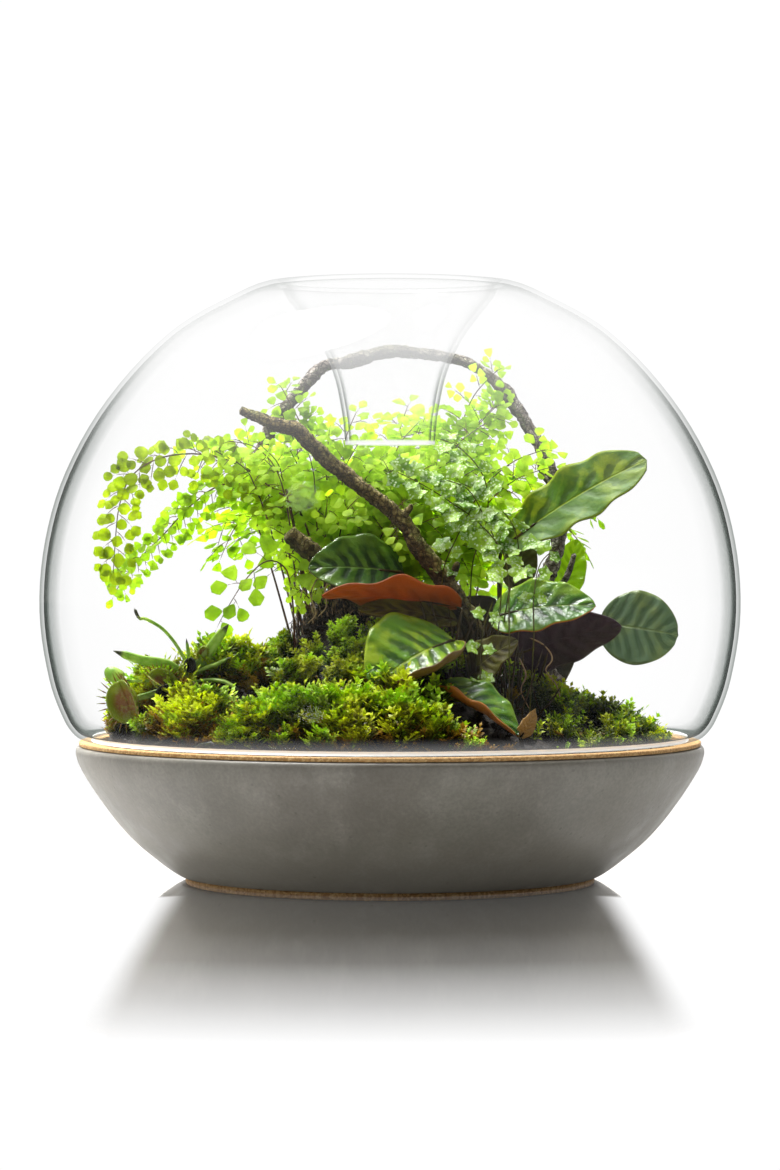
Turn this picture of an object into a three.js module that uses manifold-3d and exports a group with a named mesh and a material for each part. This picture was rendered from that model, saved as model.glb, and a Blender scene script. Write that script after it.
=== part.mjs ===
// A planted glass terrarium. A hand-blown dome, whose top turns inwards as an open funnel, stands on a
// cork gasket on the rim of a low concrete bowl. Inside the bowl lie drainage gravel and soil, heaped to
// a hill, with moss, driftwood, a maidenhair fern, a prayer plant, a creeper and a Venus flytrap.
// Millimetres, +Z up. The origin is the centre of the cork foot's underside; -Y is the front.
import * as THREE from "three";
import { mergeVertices } from "three/addons/utils/BufferGeometryUtils.js";
import Module from "manifold-3d";

const wasm = await Module();
wasm.setup();

// Driving dimensions.
const GAP = 0.3; // clearance between neighbours
const ROUND_SIDES = 32;
const FOOT_RADIUS = 117;
const FOOT_HEIGHT = 2;
const RIM_HEIGHT = 76.5; // top of the concrete
const GASKET_INNER = 168.8;
const GASKET_OUTER = 177.6;
const GASKET_TOP = 79;
const GLASS_THICKNESS = 2.5;
const GRAVEL_TOP = 34;
const GROUND_RADIUS = 162;
const GROUND_RINGS = 10;
const EDGE_HEIGHT = 74; // soil at the bowl's rim
const HILL_HEIGHT = 72; // above the soil at the rim
const ROOT_DEPTH = 11; // how deep a stem stands in its hole
const LEAF_THICKNESS = 0.9;
const LEAFLET_THICKNESS = 0.65;

const COLOURS = {
  concrete: [0x74726e, 0.75],
  cork: [0xb98a52, 0.9],
  glass: [0xdfe8e4, 0.05],
  gravel: [0x8d8a84, 0.9],
  soil: [0x1d1712, 1],
  moss_lime: [0x7f9a22, 1],
  moss_green: [0x4f7d1e, 1],
  moss_olive: [0x5d6420, 1],
  moss_dark: [0x33501c, 1],
  bark: [0x5b4a35, 0.9],
  bark_dark: [0x3a2b2a, 0.9],
  fern: [0x86c232, 0.6],
  fern_deep: [0x5fa02a, 0.6],
  creeper: [0x8fae7c, 0.6],
  leaf_green: [0x3f7a25, 0.4],
  leaf_dark: [0x1f4a26, 0.4],
  leaf_blue: [0x3d5f4e, 0.45],
  leaf_purple: [0x3d2733, 0.6],
  leaf_rust: [0xa5532a, 0.6],
  leaf_light: [0x86b83a, 0.5],
  flytrap: [0x7d8c2e, 0.6],
};

const terrarium = new THREE.Group();
const placed = []; // every solid already standing, which later leaflets keep clear of

// ---- Solids ----

function solidFrom(geometry) {
  const bare = new THREE.BufferGeometry();
  bare.setAttribute("position", geometry.getAttribute("position"));
  bare.setIndex(geometry.index);
  const merged = mergeVertices(bare, 1e-4);
  return new wasm.Manifold(
    new wasm.Mesh({
      numProp: 3,
      vertProperties: new Float32Array(merged.getAttribute("position").array),
      triVerts: new Uint32Array(merged.index.array),
    }),
  );
}

function geometryFrom(solid) {
  const mesh = solid.getMesh();
  const geometry = new THREE.BufferGeometry();
  geometry.setAttribute("position", new THREE.BufferAttribute(mesh.vertProperties, 3));
  geometry.setIndex(new THREE.BufferAttribute(mesh.triVerts, 1));
  geometry.computeVertexNormals();
  return geometry;
}

function addPiece(name, solid, colour) {
  const [color, roughness] = COLOURS[colour];
  const material = new THREE.MeshStandardMaterial({ color, roughness, metalness: 0 });
  const mesh = new THREE.Mesh(geometryFrom(solid), material);
  mesh.name = name;
  terrarium.add(mesh);
  placed.push(solid);
}

function isClear(solid, others = []) {
  return [...placed, ...others].every((other) => solid.intersect(other).volume() < 1e-3);
}

// A small seeded random source, so that every run grows the same plants.
function randomFrom(seed) {
  let state = seed;
  return () => {
    state = (state + 0x6d2b79f5) | 0;
    let mixed = Math.imul(state ^ (state >>> 15), 1 | state);
    mixed = (mixed + Math.imul(mixed ^ (mixed >>> 7), 61 | mixed)) ^ mixed;
    return ((mixed ^ (mixed >>> 14)) >>> 0) / 4294967296;
  };
}

const vector = (point) => new THREE.Vector3(...point);

const curveThrough = (points) => new THREE.CatmullRomCurve3(points.map(vector), false, "centripetal");

// ---- Turned pieces ----

// A profile of [radius, height] points, turned about Z. A ring's profile closes on itself.
function turned(profile, isRing = false) {
  const points = profile.map(([radius, height]) => new THREE.Vector2(radius, height));
  if (isRing) points.push(points[0]);
  const geometry = new THREE.LatheGeometry(points, ROUND_SIDES);
  geometry.rotateX(Math.PI / 2);
  return solidFrom(geometry);
}

const BOWL_INSIDE = [
  [96, 15],
  [120, 21],
  [143, 37],
  [159, 57],
];

function concreteBowl() {
  const outside = [
    [0, FOOT_HEIGHT + GAP],
    [118, FOOT_HEIGHT + GAP],
    [125, 5.6],
    [145.3, 21.8],
    [156, 33.4],
    [172.2, 56.2],
    [177.2, 65],
    [179.6, 73.4],
    [177.6, RIM_HEIGHT],
  ];
  const mouth = [[168, RIM_HEIGHT]];
  const floor = [[0, BOWL_INSIDE[0][1]]];
  return turned([...outside, ...mouth, ...[...BOWL_INSIDE].reverse(), ...floor]);
}

function corkFoot() {
  return turned([
    [0, 0],
    [FOOT_RADIUS, 0],
    [FOOT_RADIUS, FOOT_HEIGHT],
    [0, FOOT_HEIGHT],
  ]);
}

function corkGasket() {
  const bottom = RIM_HEIGHT + GAP;
  return turned(
    [
      [GASKET_INNER, bottom],
      [GASKET_OUTER, bottom],
      [GASKET_OUTER, GASKET_TOP],
      [GASKET_INNER, GASKET_TOP],
    ],
    true,
  );
}

// The middle of the glass wall: from the turned-in foot up and over the crest, and down the funnel to its
// open lip.
const GLASS_MIDLINE = [
  [170.3, 80.7],
  [177.8, 82.6],
  [184.6, 91.2],
  [193.2, 114.6],
  [198.75, 153],
  [195.6, 193],
  [184, 232],
  [160.5, 273],
  [126, 310.4],
  [92, 331],
  [65, 340.6],
  [57, 331],
  [41, 310],
  [31.5, 290],
  [26.2, 266],
  [24.4, 248.2],
];

function glassDome() {
  const line = GLASS_MIDLINE.map(([radius, height]) => new THREE.Vector2(radius, height));
  const half = GLASS_THICKNESS / 2;
  const shifted = (side) =>
    line.map((point, index) => {
      const before = line[Math.max(index - 1, 0)];
      const after = line[Math.min(index + 1, line.length - 1)];
      const along = after.clone().sub(before).normalize();
      return [point.x + side * half * along.y, point.y - side * half * along.x];
    });
  return turned([...shifted(1), ...shifted(-1).reverse()], true);
}

// ---- Ground ----

// Height of the bare soil: a hill, a low ridge to the left, a rise to the right and the fern's root ball.
function groundHeight(x, y) {
  const depth = y < 0 ? 95 : 78;
  const hill = HILL_HEIGHT * Math.exp(-(((x + 8) / 76) ** 2) - ((y - 4) / depth) ** 2);
  const ridge = 28 * Math.exp(-(((x + 118) / 44) ** 2) - ((y + 30) / 58) ** 2);
  const rise = 12 * Math.exp(-(((x - 100) / 48) ** 2) - ((y + 10) / 60) ** 2);
  const rootBall = 13 * Math.exp(-(((x + 37) / 15) ** 2) - (y / 20) ** 2);
  const edgeFade = 1 - (Math.hypot(x, y) / (GROUND_RADIUS + 6)) ** 8;
  return EDGE_HEIGHT + (hill + ridge + rise) * edgeFade + rootBall;
}

function groundPoint(ring, sector, lift = 0) {
  const radius = (GROUND_RADIUS * ring) / GROUND_RINGS;
  const angle = (2 * Math.PI * sector) / ROUND_SIDES;
  const x = radius * Math.cos(angle);
  const y = radius * Math.sin(angle);
  return new THREE.Vector3(x, y, groundHeight(x, y) + lift);
}

function solidFromTriangles(triangles) {
  const geometry = new THREE.BufferGeometry().setFromPoints(triangles.flat());
  return solidFrom(geometry);
}

// A closed body: a top point, rings of points on the same sectors going outwards and down, a bottom point.
function ringStack(top, rings, bottom) {
  const triangles = [];
  const last = rings.length - 1;
  for (let sector = 0; sector < ROUND_SIDES; sector++) {
    const next = (sector + 1) % ROUND_SIDES;
    triangles.push([top, rings[0][sector], rings[0][next]]);
    for (let ring = 0; ring < last; ring++) {
      const [inner, outer] = [rings[ring], rings[ring + 1]];
      triangles.push([inner[sector], outer[sector], outer[next]]);
      triangles.push([inner[sector], outer[next], inner[next]]);
    }
    triangles.push([bottom, rings[last][next], rings[last][sector]]);
  }
  return solidFromTriangles(triangles);
}

function levelRing(radius, height) {
  return Array.from({ length: ROUND_SIDES }, (_, sector) => {
    const angle = (2 * Math.PI * sector) / ROUND_SIDES;
    return new THREE.Vector3(radius * Math.cos(angle), radius * Math.sin(angle), height);
  });
}

function drainageGravel() {
  const rings = [
    levelRing(137, GRAVEL_TOP),
    levelRing(118.6, 21.4),
    levelRing(95, 15.6),
  ];
  return ringStack(vector([0, 0, GRAVEL_TOP + 1.5]), rings, vector([0, 0, 15.6]));
}

function soilHeap() {
  const surface = Array.from({ length: GROUND_RINGS }, (_, ring) =>
    Array.from({ length: ROUND_SIDES }, (_, sector) => groundPoint(ring + 1, sector)),
  );
  const sides = [levelRing(157.6, 57.6), levelRing(138.6, GRAVEL_TOP + 2.5)];
  return ringStack(groundPoint(0, 0), [...surface, ...sides], vector([0, 0, GRAVEL_TOP + 2.5]));
}

// Moss covers whole cells of the ground's net, each raised to a blunt tuft. Its border runs unevenly.
function mossCarpet({ rings, sectors, tuft, seed }) {
  const random = randomFrom(seed);
  const wander = (ring, border) => Math.round(1.3 * Math.sin(ring * 1.9 + border * 2.3));
  const covered = (ring, sector) => {
    if (ring < rings[0] || ring > rings[1]) return false;
    const from = sectors[0] + wander(ring, sectors[0]);
    const to = sectors[1] + wander(ring, sectors[1]);
    const turns = (((sector - from) % ROUND_SIDES) + ROUND_SIDES) % ROUND_SIDES;
    return turns <= to - from;
  };
  const isInside = (ring, sector) =>
    [0, 1].every((back) => [0, 1].every((side) => covered(ring - back, sector - side)));
  const top = (ring, sector) => groundPoint(ring, sector, isInside(ring, sector) ? tuft * 0.45 : 1.4);
  const bottom = (ring, sector) => groundPoint(ring, sector, GAP);
  const triangles = [];
  const wall = (a, b) => {
    triangles.push([bottom(...a), bottom(...b), top(...b)]);
    triangles.push([bottom(...a), top(...b), top(...a)]);
  };
  for (let ring = rings[0]; ring <= rings[1]; ring++) {
    for (let sector = 0; sector < ROUND_SIDES; sector++) {
      if (!covered(ring, sector)) continue;
      const corners = [
        [ring, sector],
        [ring + 1, sector],
        [ring + 1, (sector + 1) % ROUND_SIDES],
        [ring, (sector + 1) % ROUND_SIDES],
      ];
      const [a, b, c, d] = corners;
      const between = () => 0.3 + 0.4 * random();
      const peak = groundPoint(ring + between(), sector + between(), tuft * (0.75 + 0.5 * random()));
      corners.forEach((corner, index) => {
        triangles.push([top(...corner), top(...corners[(index + 1) % 4]), peak]);
      });
      triangles.push([bottom(...a), bottom(...c), bottom(...b)]);
      triangles.push([bottom(...a), bottom(...d), bottom(...c)]);
      if (!covered(ring, sector - 1)) wall(a, b);
      if (!covered(ring + 1, sector)) wall(b, c);
      if (!covered(ring, sector + 1)) wall(c, d);
      if (!covered(ring - 1, sector)) wall(d, a);
    }
  }
  return solidFromTriangles(triangles);
}

// Cells are numbered from the centre outwards and anticlockwise from +X.
const MOSS = {
  moss_hill: { rings: [2, 4], sectors: [13, 26], tuft: 9, seed: 11, colour: "moss_green" },
  moss_front: { rings: [5, 9], sectors: [17, 25], tuft: 10, seed: 12, colour: "moss_lime" },
  moss_left: { rings: [5, 9], sectors: [12, 15], tuft: 7, seed: 13, colour: "moss_olive" },
  moss_right: { rings: [5, 9], sectors: [28, 33], tuft: 8, seed: 14, colour: "moss_dark" },
  moss_back: { rings: [5, 8], sectors: [4, 9], tuft: 8, seed: 15, colour: "moss_green" },
};

// ---- Stems and wood ----

// A round bar bent along a curve: a cylinder whose rings are moved to the curve's frames.
function barAlong(curve, radiusAt, sides, steps) {
  const frames = curve.computeFrenetFrames(steps);
  const geometry = new THREE.CylinderGeometry(1, 1, 1, sides, steps);
  const position = geometry.getAttribute("position");
  for (let index = 0; index < position.count; index++) {
    const step = Math.round((0.5 + position.getY(index)) * steps);
    const across = frames.normals[step];
    const upright = across.clone().cross(frames.tangents[step]);
    const [x, z] = [position.getX(index), position.getZ(index)];
    const radius = radiusAt(step / steps, Math.round((Math.atan2(z, x) * sides) / (2 * Math.PI)), step);
    const point = curve.getPointAt(step / steps);
    point.addScaledVector(across, x * radius).addScaledVector(upright, z * radius);
    position.setXYZ(index, point.x, point.y, point.z);
  }
  return solidFrom(geometry);
}

// Holes that stems leave in the soil and moss, each a little wider than its stem.
const stemHoles = [];

function rooted(points, depth = ROOT_DEPTH) {
  const [x, y] = points[0];
  const ground = groundHeight(x, y);
  const above = points.slice(1);
  return [[x, y, ground - depth], [x, y, ground + 6], ...above];
}

function stem(points, radius, { sides = 4, tip = 0.6, steps = Math.ceil(1.5 * points.length) } = {}) {
  const [x, y, z] = points[0];
  const holeLine = new THREE.LineCurve3(vector([x, y, z - 1]), vector([x, y, z + ROOT_DEPTH + 16]));
  stemHoles.push(barAlong(holeLine, () => radius + 1.6, 4, 1));
  return barAlong(curveThrough(points), (share) => radius * (1 + (tip - 1) * share), sides, steps);
}

// Driftwood: a bar whose rings swell and shrink, with knots, and whose sides are uneven.
function driftwood(points, radii, seed, steps, sides = 7) {
  const random = randomFrom(seed);
  const bumps = Array.from({ length: (steps + 1) * (sides + 1) }, () => 0.88 + 0.24 * random());
  const radiusAt = (share, side, step) => {
    const place = share * (radii.length - 1);
    const whole = Math.min(Math.floor(place), radii.length - 2);
    const radius = radii[whole] + (radii[whole + 1] - radii[whole]) * (place - whole);
    return radius * bumps[step * sides + ((side + sides) % sides)];
  };
  return barAlong(curveThrough(points), radiusAt, sides, steps);
}

function woodHole(points, radius) {
  const [x, y, z] = points[0];
  stemHoles.push(barAlong(curveThrough([[x, y, z - 1], ...points.slice(1, 5)]), () => radius, 7, 4));
}

// Routes of the driftwood, from the foot in the soil to the free tip.
const BRANCH_FRONT = [
  [66, 4, 86],
  [63, 0, 102],
  [57, -8, 125],
  [50, -16, 142],
  [38, -24, 160],
  [28, -30, 174],
  [17, -35, 189],
  [7, -39, 204],
  [-14, -44, 222],
  [-34, -48, 238],
  [-52, -52, 255],
  [-62, -54, 258],
  [-84, -58, 266],
];
const BRANCH_ARCH = [
  [113, -24, 68],
  [109, -22, 81],
  [102, -14, 96],
  [95, -6, 108],
  [87, 2, 122],
  [82, 8, 142],
  [82, 12, 159],
  [91, 16, 173],
  [98, 20, 194],
  [96, 26, 220],
  [90, 32, 243],
  [81, 38, 259],
  [64, 48, 284],
  [42, 56, 299],
  [20, 60, 303],
  [-3, 62, 304],
  [-27, 62, 298],
  [-40, 61, 295],
  [-55, 60, 279],
  [-67, 59, 265],
  [-76, 58, 246],
  [-87, 56, 225],
];
const ARCH_TWIG = [
  [84, 12, 150],
  [92, 9, 158],
  [98, 6, 166],
  [103, 4, 176],
  [106, 2, 186],
];
const BRANCH_STUB = [
  [2, 0, 120],
  [-6, -3, 140],
  [-22, -8, 164],
  [-40, -14, 182],
  [-58, -20, 198],
];

function frontBranch() {
  woodHole(BRANCH_FRONT, 6);
  return driftwood(BRANCH_FRONT, [5, 4.6, 4.4, 4.2, 4.6, 5.8, 4.4, 4, 4.2, 3.9, 4.6, 3.4, 2.2], 31, 22, 6);
}

function archBranch() {
  woodHole(BRANCH_ARCH, 9);
  const arch = driftwood(BRANCH_ARCH, [7, 6, 5.4, 5, 4.2, 4, 3.4, 3.8, 3, 3.4, 4, 3.6, 3.8, 2.8], 32, 28, 6);
  return arch.add(driftwood(ARCH_TWIG, [2.6, 2, 1.4], 33, 5, 5));
}

function stubBranch() {
  woodHole(BRANCH_STUB, 6.6);
  return driftwood(BRANCH_STUB, [5, 5, 5.6, 5.2], 34, 8);
}

// ---- Leaves ----

// The frame of a blade: along its midrib, across it, and out of its upper face.
function bladeFrame(base, tip, face) {
  const along = tip.clone().sub(base).normalize();
  const across = face.clone().cross(along).normalize();
  return { along, across, normal: along.clone().cross(across) };
}

// A thin sheet over a grid of (u, v), with the same triangles on both faces and a wall round its edge.
function sheet(rows, columns, pointAt, thickness, normal) {
  const lift = normal.clone().multiplyScalar(thickness / 2);
  const grid = (side) =>
    Array.from({ length: rows + 1 }, (_, row) =>
      Array.from({ length: columns + 1 }, (_, column) =>
        pointAt(row / rows, (2 * column) / columns - 1).addScaledVector(lift, side),
      ),
    );
  const [upper, lower] = [grid(1), grid(-1)];
  const triangles = [];
  const quad = (a, b, c, d) => triangles.push([a, b, c], [a, c, d]);
  for (let row = 0; row < rows; row++) {
    for (let column = 0; column < columns; column++) {
      const corners = [[row, column], [row + 1, column], [row + 1, column + 1], [row, column + 1]];
      const [a, b, c, d] = corners.map(([i, j]) => upper[i][j]);
      const [e, f, g, h] = corners.map(([i, j]) => lower[i][j]);
      quad(a, b, c, d);
      triangles.push([e, g, f], [e, h, g]);
    }
  }
  for (let row = 0; row < rows; row++) {
    quad(upper[row + 1][0], upper[row][0], lower[row][0], lower[row + 1][0]);
    quad(upper[row][columns], upper[row + 1][columns], lower[row + 1][columns], lower[row][columns]);
  }
  for (let column = 0; column < columns; column++) {
    quad(upper[0][column], upper[0][column + 1], lower[0][column + 1], lower[0][column]);
    quad(upper[rows][column + 1], upper[rows][column], lower[rows][column], lower[rows][column + 1]);
  }
  return solidFromTriangles(triangles);
}

// A large leaf: an oval blade, arched along its midrib, folded along it and waved at its margin.
function blade({ base, tip, face, width, arch = 5, wave = 1.5, waves = 3, ...finer }) {
  const { fold = 0.15, blunt = 0.75, rows = 6, columns = 4 } = finer;
  const [start, end] = [vector(base), vector(tip)];
  const { across, normal } = bladeFrame(start, end, vector(face));
  const halfWidth = (u) => (width / 2) * Math.max(Math.sin(Math.PI * u ** blunt) ** 0.62, 0.06);
  const pointAt = (u, v) => {
    const half = halfWidth(u);
    const rise = arch * 4 * u * (1 - u) + fold * half * Math.abs(v) ** 1.5;
    const phase = 2 * Math.PI * waves * u + (v > 0 ? 0 : 1.4);
    const lift = rise + wave * Math.sin(phase) * v * v * Math.sin(Math.PI * u);
    return start.clone().lerp(end, u).addScaledVector(across, v * half).addScaledVector(normal, lift);
  };
  return { solid: sheet(rows, columns, pointAt, LEAF_THICKNESS, normal), pointAt };
}

const PRAYER_LEAVES = {
  diagonal: { base: [62, -8, 187], tip: [145, -30, 239], face: [-0.25, -0.8, 0.5], width: 38, arch: 6,
    wave: 2.2, waves: 4, route: [[60, -22], [62, -18, 150]], colour: "leaf_green" },
  far_right: { base: [120, 6, 146], tip: [165, 0, 139], face: [0.1, -0.95, 0.25], width: 44, arch: 2,
    wave: 0.8, route: [[80, 22], [98, 18, 132]], colour: "leaf_blue" },
  right: { base: [57, -34, 150], tip: [115, -54, 157], face: [0, -0.6, 0.8], width: 38, arch: 4,
    route: [[54, -32], [53, -33, 132]], colour: "leaf_green" },
  right_under: { base: [64, -22, 126], tip: [131, -30, 145], face: [0.1, 0.8, 0.6], width: 40, arch: 4,
    route: [[64, -30], [63, -25, 119]], colour: "leaf_purple" },
  front: { base: [36, -64, 138], tip: [-12, -92, 115], face: [-0.2, -0.76, 0.62], width: 50, arch: 6,
    route: [[46, -54], [45, -59, 130]], colour: "leaf_green" },
  front_small: { base: [24, -78, 113], tip: [70, -104, 87], face: [0.25, -0.6, 0.76], width: 28, arch: 6,
    route: [[30, -64], [26, -71, 114]], colour: "leaf_green" },
  rust: { base: [40, -38, 156], tip: [-38, -62, 163], face: [0, 0.4, 0.9], width: 40, arch: 3, wave: 2.6,
    waves: 2.5, route: [[46, -42], [46, -40, 142]], colour: "leaf_rust" },
  left: { base: [8, -20, 175], tip: [-46, -40, 178], face: [-0.1, -0.8, 0.6], width: 34, arch: 3,
    route: [[18, -14], [14, -17, 160]], colour: "leaf_dark" },
  bent: { base: [50, -52, 117], tip: [79, -64, 135], face: [-0.4, -0.8, 0.4], width: 24, arch: 4,
    route: [[56, -44], [53, -48, 112]], colour: "leaf_rust" },
  upright: { base: [71, 0, 165], tip: [79, -2, 198], face: [0, -1, 0.1], width: 20, arch: 2,
    route: [[70, 12], [70, 6, 140]], colour: "leaf_dark" },
  light: { base: [98, 30, 159], tip: [109, 34, 194], face: [0, -1, 0.2], width: 22, arch: 2,
    route: [[96, 26], [97, 28, 130]], colour: "leaf_light" },
  back_right: { base: [62, 66, 152], tip: [104, 108, 158], face: [0.3, 0.2, 0.9], width: 40, arch: 8,
    route: [[44, 52], [52, 58, 138]], colour: "leaf_green" },
};

// The stalk runs on under the midrib for a tenth of the blade, so that the two are one.
function prayerLeaf({ route, ...shape }) {
  const { solid, pointAt } = blade(shape);
  const joint = [0.02, 0.12, 0.22].map((u) => pointAt(u, 0).toArray());
  return solid.add(stem([...rooted(route), ...joint], 1.5, { sides: 3, tip: 0.7, steps: 6 }));
}

// ---- Maidenhair fern ----

// A flat side branch of the fern: a thin rib with fan-shaped leaflets on both sides and one at its end.
function pinnaOutline(length, size) {
  const rib = 0.55;
  const count = Math.max(1, Math.floor((length - 0.4 * size) / size));
  const fan = (x, side) => [
    [x - rib, side * rib],
    [x - 0.4 * size, side * 0.72 * size],
    [x + 0.4 * size, side * 0.86 * size],
    [x + rib, side * rib],
  ];
  const left = [];
  const right = [];
  for (let index = 0; index < count; index++) {
    left.push(...fan((index + 0.62) * size, 1));
    right.push(...fan((index + 1.08) * size, -1));
  }
  const end = (count + 0.62) * size;
  const tip = [
    [end - 0.1 * size, -rib],
    [end + 0.72 * size, -0.42 * size],
    [end + 0.72 * size, 0.42 * size],
    [end - 0.1 * size, rib],
  ];
  return [[-1.2, rib], [-1.2, -rib], ...right, ...tip, ...left.reverse()];
}

function pinna(origin, along, face, length, size, droop) {
  const shape = new THREE.Shape(pinnaOutline(length, size).map(([x, y]) => new THREE.Vector2(x, y)));
  const geometry = new THREE.ExtrudeGeometry(shape, { depth: LEAFLET_THICKNESS, bevelEnabled: false });
  const position = geometry.getAttribute("position");
  for (let index = 0; index < position.count; index++) {
    const [x, y, z] = [position.getX(index), position.getY(index), position.getZ(index)];
    const bend = -droop * Math.max(x, 0) ** 2 - 0.012 * y * y;
    position.setZ(index, z - LEAFLET_THICKNESS / 2 + bend);
  }
  const across = face.clone().cross(along).normalize();
  const normal = along.clone().cross(across);
  geometry.applyMatrix4(new THREE.Matrix4().makeBasis(along, across, normal).setPosition(origin));
  return solidFrom(geometry);
}

// A frond: a wiry stalk along its route, with side branches alternating over its upper part.
function frond({ route, face, from = 0.4, count, reach, size = 11, seed }) {
  const random = randomFrom(seed);
  const points = rooted(route);
  const curve = curveThrough(points);
  const steps = 2 * points.length;
  const stalk = stem(points, 1.2, { tip: 0.55, sides: 3, steps });
  const branches = [];
  for (let index = 0; index < count; index++) {
    const share = Math.round((from + ((0.97 - from) * (index + 0.5)) / count) * steps) / steps;
    const origin = curve.getPointAt(share);
    const heading = curve.getTangentAt(share);
    const side = index % 2 ? 1 : -1;
    const lean = (60 + 20 * (random() - 0.5)) * (Math.PI / 180);
    const tilt = new THREE.Vector3(random() - 0.5, random() - 0.5, random() - 0.5).multiplyScalar(0.7);
    const upper = vector(face).add(tilt).normalize();
    const outward = upper.clone().cross(heading).normalize().multiplyScalar(side);
    const along = heading.clone().multiplyScalar(Math.cos(lean)).addScaledVector(outward, Math.sin(lean));
    const fullness = Math.sin(Math.PI * Math.min(1, 0.25 + 0.75 * ((index + 0.5) / count)));
    const length = reach * (0.55 + 0.45 * fullness) * (0.9 + 0.2 * random());
    const branch = pinna(origin, along, upper, length, size, 0.006 + 0.006 * random());
    if (isClear(branch, branches)) branches.push(branch);
  }
  const end = pinna(curve.getPointAt(0.985), curve.getTangentAt(1), vector(face), 1.6 * size, size, 0.01);
  if (isClear(end, branches)) branches.push(end);
  return branches.reduce((whole, branch) => whole.add(branch), stalk);
}

const FERN = {
  left_long: { face: [0, -0.85, 0.5], from: 0.34, count: 8, reach: 21, size: 11, seed: 101, colour: "fern",
    route: [[-40, -2], [-46, -2, 195], [-55, 0, 215], [-66, 2, 222], [-79, 4, 232], [-98, 5, 241],
      [-118, 4, 243], [-136, 2, 239], [-149, 0, 229], [-157, -4, 212], [-160, -8, 190], [-161, -10, 172]] },
  left_low: { face: [0.2, -0.6, 0.8], from: 0.42, count: 6, reach: 21, seed: 102, colour: "fern_deep",
    route: [[-36, 12], [-51, 14, 199], [-71, 14, 218], [-94, 13, 226], [-114, 12, 214], [-131, 11, 196],
      [-147, 10, 180], [-158, 8, 164]] },
  left_up: { face: [-0.3, -0.7, 0.6], from: 0.5, count: 4, reach: 26, seed: 103, colour: "fern",
    route: [[-52, -2], [-57, -4, 200], [-64, -12, 232], [-76, -20, 246], [-92, -26, 250]] },
  back_up: { face: [-0.3, -0.6, 0.7], from: 0.5, count: 3, reach: 24, seed: 104, colour: "fern",
    route: [[-30, 24], [-38, 34, 205], [-42, 38, 234], [-52, 40, 261], [-64, 40, 284]] },
  centre: { face: [0, -0.7, 0.7], from: 0.45, count: 4, reach: 26, size: 12, seed: 105, colour: "fern",
    route: [[-22, 18], [-24, 20, 194], [-18, 22, 218], [-6, 20, 234], [10, 16, 242]] },
  behind_funnel: { face: [0, -0.7, 0.7], from: 0.4, count: 4, reach: 23, seed: 106, colour: "fern",
    route: [[-4, 40], [-3, 54, 205], [1, 66, 241], [10, 78, 272]] },
  right_top: { face: [0.3, -0.7, 0.6], from: 0.45, count: 4, reach: 24, seed: 107, colour: "fern",
    route: [[24, 36], [30, 40, 205], [38, 38, 246], [48, 34, 276], [64, 28, 296]] },
  right_mid: { face: [0.3, -0.7, 0.6], from: 0.4, count: 4, reach: 23, seed: 108, colour: "fern",
    route: [[34, 22], [40, 18, 194], [52, 12, 221], [70, 8, 238], [90, 4, 246]] },
  droop: { face: [-0.3, -0.8, 0.4], from: 0.5, count: 3, reach: 18, seed: 110, colour: "fern_deep",
    route: [[-54, -16], [-58, -24, 175], [-68, -28, 182], [-80, -32, 173], [-92, -34, 155]] },
  centre_low: { face: [0.2, -0.8, 0.5], from: 0.45, count: 3, reach: 24, seed: 111, colour: "fern_deep",
    route: [[-14, 4], [-13, 0, 181], [-5, -4, 199], [6, -8, 214]] },
  back_left: { face: [-0.2, 0.3, 0.9], from: 0.4, count: 4, reach: 26, seed: 112, colour: "fern_deep",
    route: [[-46, 34], [-60, 56, 190], [-76, 76, 214], [-92, 94, 214], [-102, 106, 196]] },
  back_right: { face: [0.3, 0.3, 0.9], from: 0.4, count: 4, reach: 26, seed: 114, colour: "fern_deep",
    route: [[34, 60], [56, 70, 200], [78, 78, 226], [100, 84, 230], [120, 86, 212]] },
};

// ---- Creeper ----

// Half the outline of a lobed leaf, as shares of its length and half-width.
const LOBES = [
  [0, 0.12],
  [0.16, 0.86],
  [0.42, 0.5],
  [0.64, 0.96],
];

function lobedLeaf(origin, along, face, length) {
  const half = LOBES.map(([x, y]) => [x * length, y * 0.42 * length]);
  const mirror = half.map(([x, y]) => [x, -y]).reverse();
  const outline = [...mirror, ...half, [length, 0]];
  const shape = new THREE.Shape(outline.map(([x, y]) => new THREE.Vector2(x - 1, y)));
  const geometry = new THREE.ExtrudeGeometry(shape, { depth: LEAFLET_THICKNESS, bevelEnabled: false });
  geometry.translate(0, 0, -LEAFLET_THICKNESS / 2);
  const across = face.clone().cross(along).normalize();
  const normal = along.clone().cross(across);
  geometry.applyMatrix4(new THREE.Matrix4().makeBasis(along, across, normal).setPosition(origin));
  return solidFrom(geometry);
}

function creeperSprig({ route, count, length = 11, from = 0.25, seed, face = [0, -0.7, 0.7] }) {
  const random = randomFrom(seed);
  const points = rooted(route);
  const curve = curveThrough(points);
  let solid = stem(points, 0.9, { tip: 0.7, sides: 3 });
  for (let index = 0; index < count; index++) {
    const share = from + ((1 - from) * (index + 0.5)) / count;
    const heading = curve.getTangentAt(share);
    const tilt = new THREE.Vector3(random() - 0.5, random() - 0.5, random() - 0.5);
    const upper = vector(face).add(tilt).normalize();
    const outward = upper.clone().cross(heading).normalize().multiplyScalar(index % 2 ? 1 : -1);
    const along = heading.clone().multiplyScalar(0.5).add(outward).normalize();
    const leaf = lobedLeaf(curve.getPointAt(share), along, upper, length * (0.85 + 0.3 * random()));
    if (isClear(leaf)) solid = solid.add(leaf);
  }
  return solid;
}

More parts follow.
